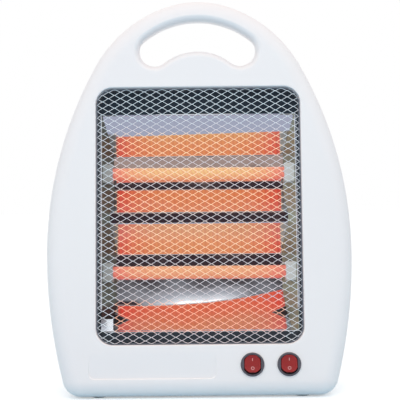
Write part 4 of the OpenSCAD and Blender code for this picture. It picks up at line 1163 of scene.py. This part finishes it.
def steatite(tree):
    # the left holders are painted darker, as painted shade from the end plates beside them
    speck = tree.noise(1800, 3).between(0.5, 0.75)
    toasted = tree.noise(70, 3).between(0.45, 0.75)
    # painted shade: darker towards the left side
    paintedShade = (0 - tree.place(0)).between(0.0, 0.08)
    unshadedTone = tree.mixed(speck * 0.4, colour(0.74, 0.72, 0.68), colour(0.58, 0.56, 0.52))
    unshadedTone = tree.mixed(toasted * 0.5, unshadedTone, colour(0.60, 0.55, 0.46))
    return {"Base Color": tree.mixed(paintedShade * 0.55, unshadedTone, colour(0.13, 0.12, 0.115)),
            "Roughness": 0.62 - 0.1 * speck, "Normal": tree.bump(tree.noise(900, 4), 0.25, 0.0002)}


def moulded(red, green, blue, roughness, grain=1300, strength=0.12):
    def build(tree):
        cloud = tree.noise(45, 3)
        deeper = colour(red * 0.86, green * 0.86, blue * 0.86)
        return {"Base Color": tree.mixed(cloud.between(0.3, 0.7), colour(red, green, blue), deeper),
                "Roughness": roughness - 0.05 + 0.1 * cloud,
                "Normal": tree.bump(tree.noise(grain, 3), strength, 0.0002)}
    return build


def ribbedRubber(tree):
    ribs = tree.noise(1, 2, tree.scaled(240, 240, 1200))
    worn = tree.noise(180, 4).between(0.5, 0.8)
    return {"Base Color": tree.mixed(worn * 0.5, colour(0.022, 0.022, 0.024), colour(0.07, 0.068, 0.066)),
            "Roughness": 0.62 + 0.2 * worn, "Normal": tree.bump(ribs, 0.25, 0.0003)}


def sleeve(red, green, blue):
    # glass-braid sleeving, fine diagonal weave
    def build(tree):
        weave = tree.node("ShaderNodeTexWave", {"wave_type": "BANDS", "bands_direction": "DIAGONAL"},
                          {"Vector": tree.place(), "Scale": 420.0, "Distortion": 1.2, "Detail": 1.0}, 1)
        deeper = colour(red * 0.6, green * 0.6, blue * 0.6)
        return {"Base Color": tree.mixed(weave * 0.5, colour(red, green, blue), deeper),
                "Roughness": 0.6 + 0.15 * weave, "Normal": tree.bump(weave, 0.3, 0.0002)}
    return build


# Building and seating every piece
sides = ((-1, "left"), (1, "right"))

print("building shells")
whiteShell = finish("whiteShell", shellPlastic)
seat("frontShell", frontShell(), whiteShell, "front_shell")
seat("rearShell", rearShell(), whiteShell, "rear_shell")

print("building guard")
guardSteelWithPaintedGlow = finish("guardSteelWithPaintedGlow", wireZinc)
rimSteel = finish("rimSteel", sheetMetal(0.20, 0.23, 0.28, 0.36, (400, 400, 400), 0.1, 0.1, 0.6))
net = seat("guardNet", joined(strandShapes()), guardSteelWithPaintedGlow, "guard_mesh", angle=70)
net.visible_glossy = False
seat("guardRim", guardRim(), rimSteel, "guard_mesh")

print("building pan and mirror")
panEnamel = finish("panEnamel", enamel)
seat("frontPan", frontPan(), panEnamel, "front_pan")
seat("panEars", panEars(), panEnamel, "front_pan")
mirrorSteel = finish("mirrorSteel", polishedMirror)
seat("reflectorSheet", reflectorShape(), mirrorSteel, "reflector", angle=50)
# the left plate is painted darker as painted shade and the right one lighter as painted light; below the
# second number each plate is painted near black, as painted shade
shadedTintedEnds = {"left": finish("shadedTintedEndLeft", heatTinted(0.42, 0.088)),
              "right": finish("shadedTintedEndRight", heatTinted(1.55, 0.06))}
brightEdge = finish("brightEdge", sheetMetal(0.80, 0.83, 0.88, 0.16, (200, 200, 200), 0.1, 0.1))
for side, name in sides:
    seat("mirrorEndPlate_" + name, mirrorEnd(side), shadedTintedEnds[name], "mirror_end_" + name)
    seat("mirrorEndLip_" + name, brightLip(side), brightEdge, "mirror_end_" + name)
seat("mirrorEndTab_left", bentTab(), brightEdge, "mirror_end_left")

print("building tubes and holders")
coilGlow = finish("coilGlow", glowingWire)
whiteCeramic = finish("whiteCeramic", steatite)
for level, rise in tubeHeights.items():
    middle = (onFace(0.0, mirror["tubeDepth"], rise) - [0, originY, 0]) / 1000
    hotQuartz = finish("quartzGlow_" + level, glowingQuartz(middle, glow[level]))
    seat("quartzTube_" + level, quartzTube(rise), hotQuartz, "quartz_tube_" + level)
    seat("heatingCoil_" + level, heatingCoil(rise), coilGlow, "heating_coil_" + level)
    for side, name in sides:
        end = level + "_" + name
        holder = ceramicHolder(rise, side)
        seat("ceramicHolder_" + end, holder, whiteCeramic, "ceramic_holder_" + end)

print("building switches")
switchBlack = finish("switchBlack", moulded(0.105, 0.094, 0.112, 0.42, 1500, 0.1))
rockerRed = finish("rockerRed", moulded(0.36, 0.011, 0.010, 0.3, 700, 0.06))
markPink = finish("markPink", moulded(0.85, 0.42, 0.40, 0.4))
for place, name in zip(switchPlaces, ("left", "right")):
    seat("switchHousing_" + name, switchBody(place), switchBlack, "switch_body_" + name)
    rocker = "rocker_" + name  # the node and the body share this name
    seat("rockerPaddle_" + name, rockerShape(place), rockerRed, rocker, rocker, 38)
    seat("rockerPin_" + name, rockerPin(place), rockerRed, rocker, rocker)
    seat("rockerMarks_" + name, rockerMarks(place), markPink, rocker, rocker)

print("building screws, gland and feet")
screwSteel = finish("screwSteel", sheetMetal(0.62, 0.62, 0.63, 0.3, (600, 600, 600)))
shank = case["screw"] / 2 - 0.5
for number, (x, z) in enumerate(bossPlaces):
    top = splitY(z) + case["seat"] + case["headHeight"]
    screw = crossScrew(upright, np.array([x, z]), top, wellDiameter / 2 - 0.5, case["headHeight"], shank, 16,
                       0.3 + number)
    seat("caseScrew_" + str(number), screw, screwSteel, "case_screws")
for side, name in sides:
    for number, rise in enumerate(pan["earRise"]):
        middle = np.array([side * pan["earX"], window["low"] + rise])
        top = pan["flangeDepth"] + pan["sheet"] + 2
        screw = crossScrew(onFace, middle, top, 3, 2, shank, 6.2, 0.5 + number)
        seat("panScrew_" + str(number) + "_" + name, screw, screwSteel, "pan_screws")
glandRubber = finish("glandRubber", ribbedRubber)
seat("cordGland", glandShape(), glandRubber, "cord_gland")
footRubber = finish("footRubber", moulded(0.42, 0.44, 0.46, 0.7, 500, 0.3))
for end, y in zip(("front", "rear"), footDepths):
    for side, name in sides:
        foot = "foot_" + end + "_" + name
        seat(foot + "_pad", footShape((side * body["footX"], y)), footRubber, foot)

print("dressing the inner pieces")
zincSheet = finish("zincSheet", sheetMetal(0.66, 0.68, 0.70, 0.3, (90, 90, 90), 0.2))
bladeBrass = finish("bladeBrass", sheetMetal(0.78, 0.58, 0.24, 0.28, (500, 500, 500)))
terminalSteel = finish("terminalSteel", sheetMetal(0.60, 0.58, 0.52, 0.35, (400, 400, 400)))
springSteel = finish("springSteel", sheetMetal(0.55, 0.55, 0.57, 0.25, (30, 30, 2400), 0.1, 0.6))
innerWhite = finish("innerWhite", moulded(0.80, 0.80, 0.76, 0.4, 900))
tipBlack = finish("tipBlack", moulded(0.03, 0.03, 0.034, 0.42))
dressed = {
    zincSheet: ["side_bracket_left", "side_bracket_right", "heat_shield"],
    terminalSteel: ["end_terminal_upper_left", "end_terminal_upper_right", "end_terminal_lower_left",
                    "end_terminal_lower_right"],
    bladeBrass: ["switch_blades_left", "switch_blades_right", "terminal_screws"],
    tipBlack: ["tip_switch_body", "tip_plunger"], springSteel: ["tip_spring"],
    innerWhite: ["terminal_block", "cord_clamp"], screwSteel: ["clamp_screws", "shield_screws"],
    finish("leadLive", sleeve(0.22, 0.10, 0.05)): ["lead_live", "lead_feed", "lead_link"],
    finish("leadHeat", sleeve(0.42, 0.06, 0.06)): ["lead_upper", "lead_lower"],
    finish("leadBlue", sleeve(0.08, 0.16, 0.50)): ["lead_return_upper", "lead_return_lower"],
    finish("leadEarth", sleeve(0.30, 0.42, 0.08)): ["lead_earth"],
}
for finished, nodes in dressed.items():
    for node in nodes:
        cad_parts[node].data.materials.clear()
        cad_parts[node].data.materials.append(finished)


# Floor, backdrop light and lamps
studio = {"floor": 14.0, "floorWhite": 0.90, "floorLift": 0.36, "key": 6.9, "keySize": 1.3,
          "keyPlace": (-0.04, -1.25, 0.85), "keyAim": 0.2, "skyHigh": (0.77, 0.765, 0.765),
          "skyLow": (0.62, 0.64, 0.67), "bounce": (0.355, 0.60, 0.745)}


def stagePlane(name, corners, finished):
    mesh = bpy.data.meshes.new(name)
    mesh.from_pydata(corners, [], [(0, 1, 2, 3)])
    mesh.materials.append(finished)
    plane = placed(name, mesh)
    return plane


def seenRays(tree):
    # camera, mirror and glass rays together
    rays = [tree.node("ShaderNodeLightPath", output=k) for k in (0, 3, 6)]
    return tree.node("ShaderNodeMath", {"operation": "MINIMUM"}, {0: rays[0] + rays[1] + rays[2], 1: 1.0})


def paleFloor(tree):
    white = studio["floorWhite"]
    paper = tree.node("ShaderNodeBsdfPrincipled", None, {
        "Base Color": tree.mixed(seenRays(tree), colour(*studio["bounce"]), colour(white, white, white)),
        "Roughness": 0.85, "Specular IOR Level": 0.1})
    lift = tree.node("ShaderNodeEmission", None, {"Color": colour(1, 1, 1), "Strength": studio["floorLift"]})
    both = tree.node("ShaderNodeAddShader", None, {0: paper, 1: lift})
    return tree.node("ShaderNodeMixShader", None, {0: seenRays(tree), 1: paper, 2: both})


half = studio["floor"]
stagePlane("floor", [(-half, -half, 0), (half, -half, 0), (half, half, 0), (-half, half, 0)],
           material("paleFloor", paleFloor))

world = bpy.data.worlds.new("studio")
bpy.context.scene.world = world
world.use_nodes = True
sky = NodeTree(world.node_tree)
rise = sky.node("ShaderNodeSeparateXYZ", None, {0: sky.node("ShaderNodeTexCoord", output=0)}, output=2)
soft = sky.mixed(rise.between(-0.35, 0.25), colour(*studio["skyLow"]), colour(*studio["skyHigh"]))
shown = sky.mixed(seenRays(sky), soft, colour(1, 1, 1))
backdrop = sky.node("ShaderNodeBackground", None, {0: shown, 1: 1.0})
sky.node("ShaderNodeOutputWorld", None, {"Surface": backdrop})

# Cards that only polished metal and gloss can see, with their left, right and top, and tones by height
cards = {
    "y": -1.5, "low": -0.2, "floor": (0.4, -0.8, -0.06, 0.0005), "floorTone": (0.42, 0.44, 0.55),
    "sizes": {"flagLeft": (-0.9, -0.13, 2.4), "flagMiddle": (-0.13, 0.12, 0.85),
              "flagRight": (0.12, 0.9, 2.4)},
    "tones": ((0.0, (0.93, 0.94, 0.97)), (0.14, (0.42, 0.43, 0.47)), (0.233, (0.34, 0.33, 0.35)),
              (0.257, (0.21, 0.21, 0.23)), (0.283, (0.08, 0.07, 0.075)), (0.30, (0.044, 0.028, 0.034)),
              (0.362, (0.044, 0.028, 0.034)), (0.374, (0.43, 0.31, 0.265)), (0.46, (0.40, 0.31, 0.28)),
              (0.55, (0.16, 0.19, 0.23))),
}


def flag(name, corners, stops):
    def toned(tree):
        return tree.node("ShaderNodeEmission", None, {"Color": tree.ramp(tree.place(2), *stops)})

    card = stagePlane(name, corners, material(name, toned))
    card.visible_camera = card.visible_diffuse = card.visible_shadow = card.visible_transmission = False


for name, (left, right, top) in cards["sizes"].items():
    flag(name, [(left, cards["y"], cards["low"]), (right, cards["y"], cards["low"]),
                (right, cards["y"], top), (left, cards["y"], top)], cards["tones"])
wide, near, far, lift = cards["floor"]
flag("floorFlag", [(-wide, near, lift), (wide, near, lift), (wide, far, lift), (-wide, far, lift)],
     [(0.0, cards["floorTone"]), (1.0, cards["floorTone"])])

lamp = bpy.data.lights.new("key", "AREA")
lamp.shape, lamp.size, lamp.energy = "SQUARE", studio["keySize"], studio["key"]
key = placed("key", lamp)
key.location = studio["keyPlace"]
aim = np.array(studio["keyPlace"]) - [0, 0, studio["keyAim"]]
key.rotation_euler = (math.atan2(np.hypot(aim[0], aim[1]), aim[2]), 0, math.atan2(aim[0], -aim[1]))
key.visible_glossy = False
print("scene built")
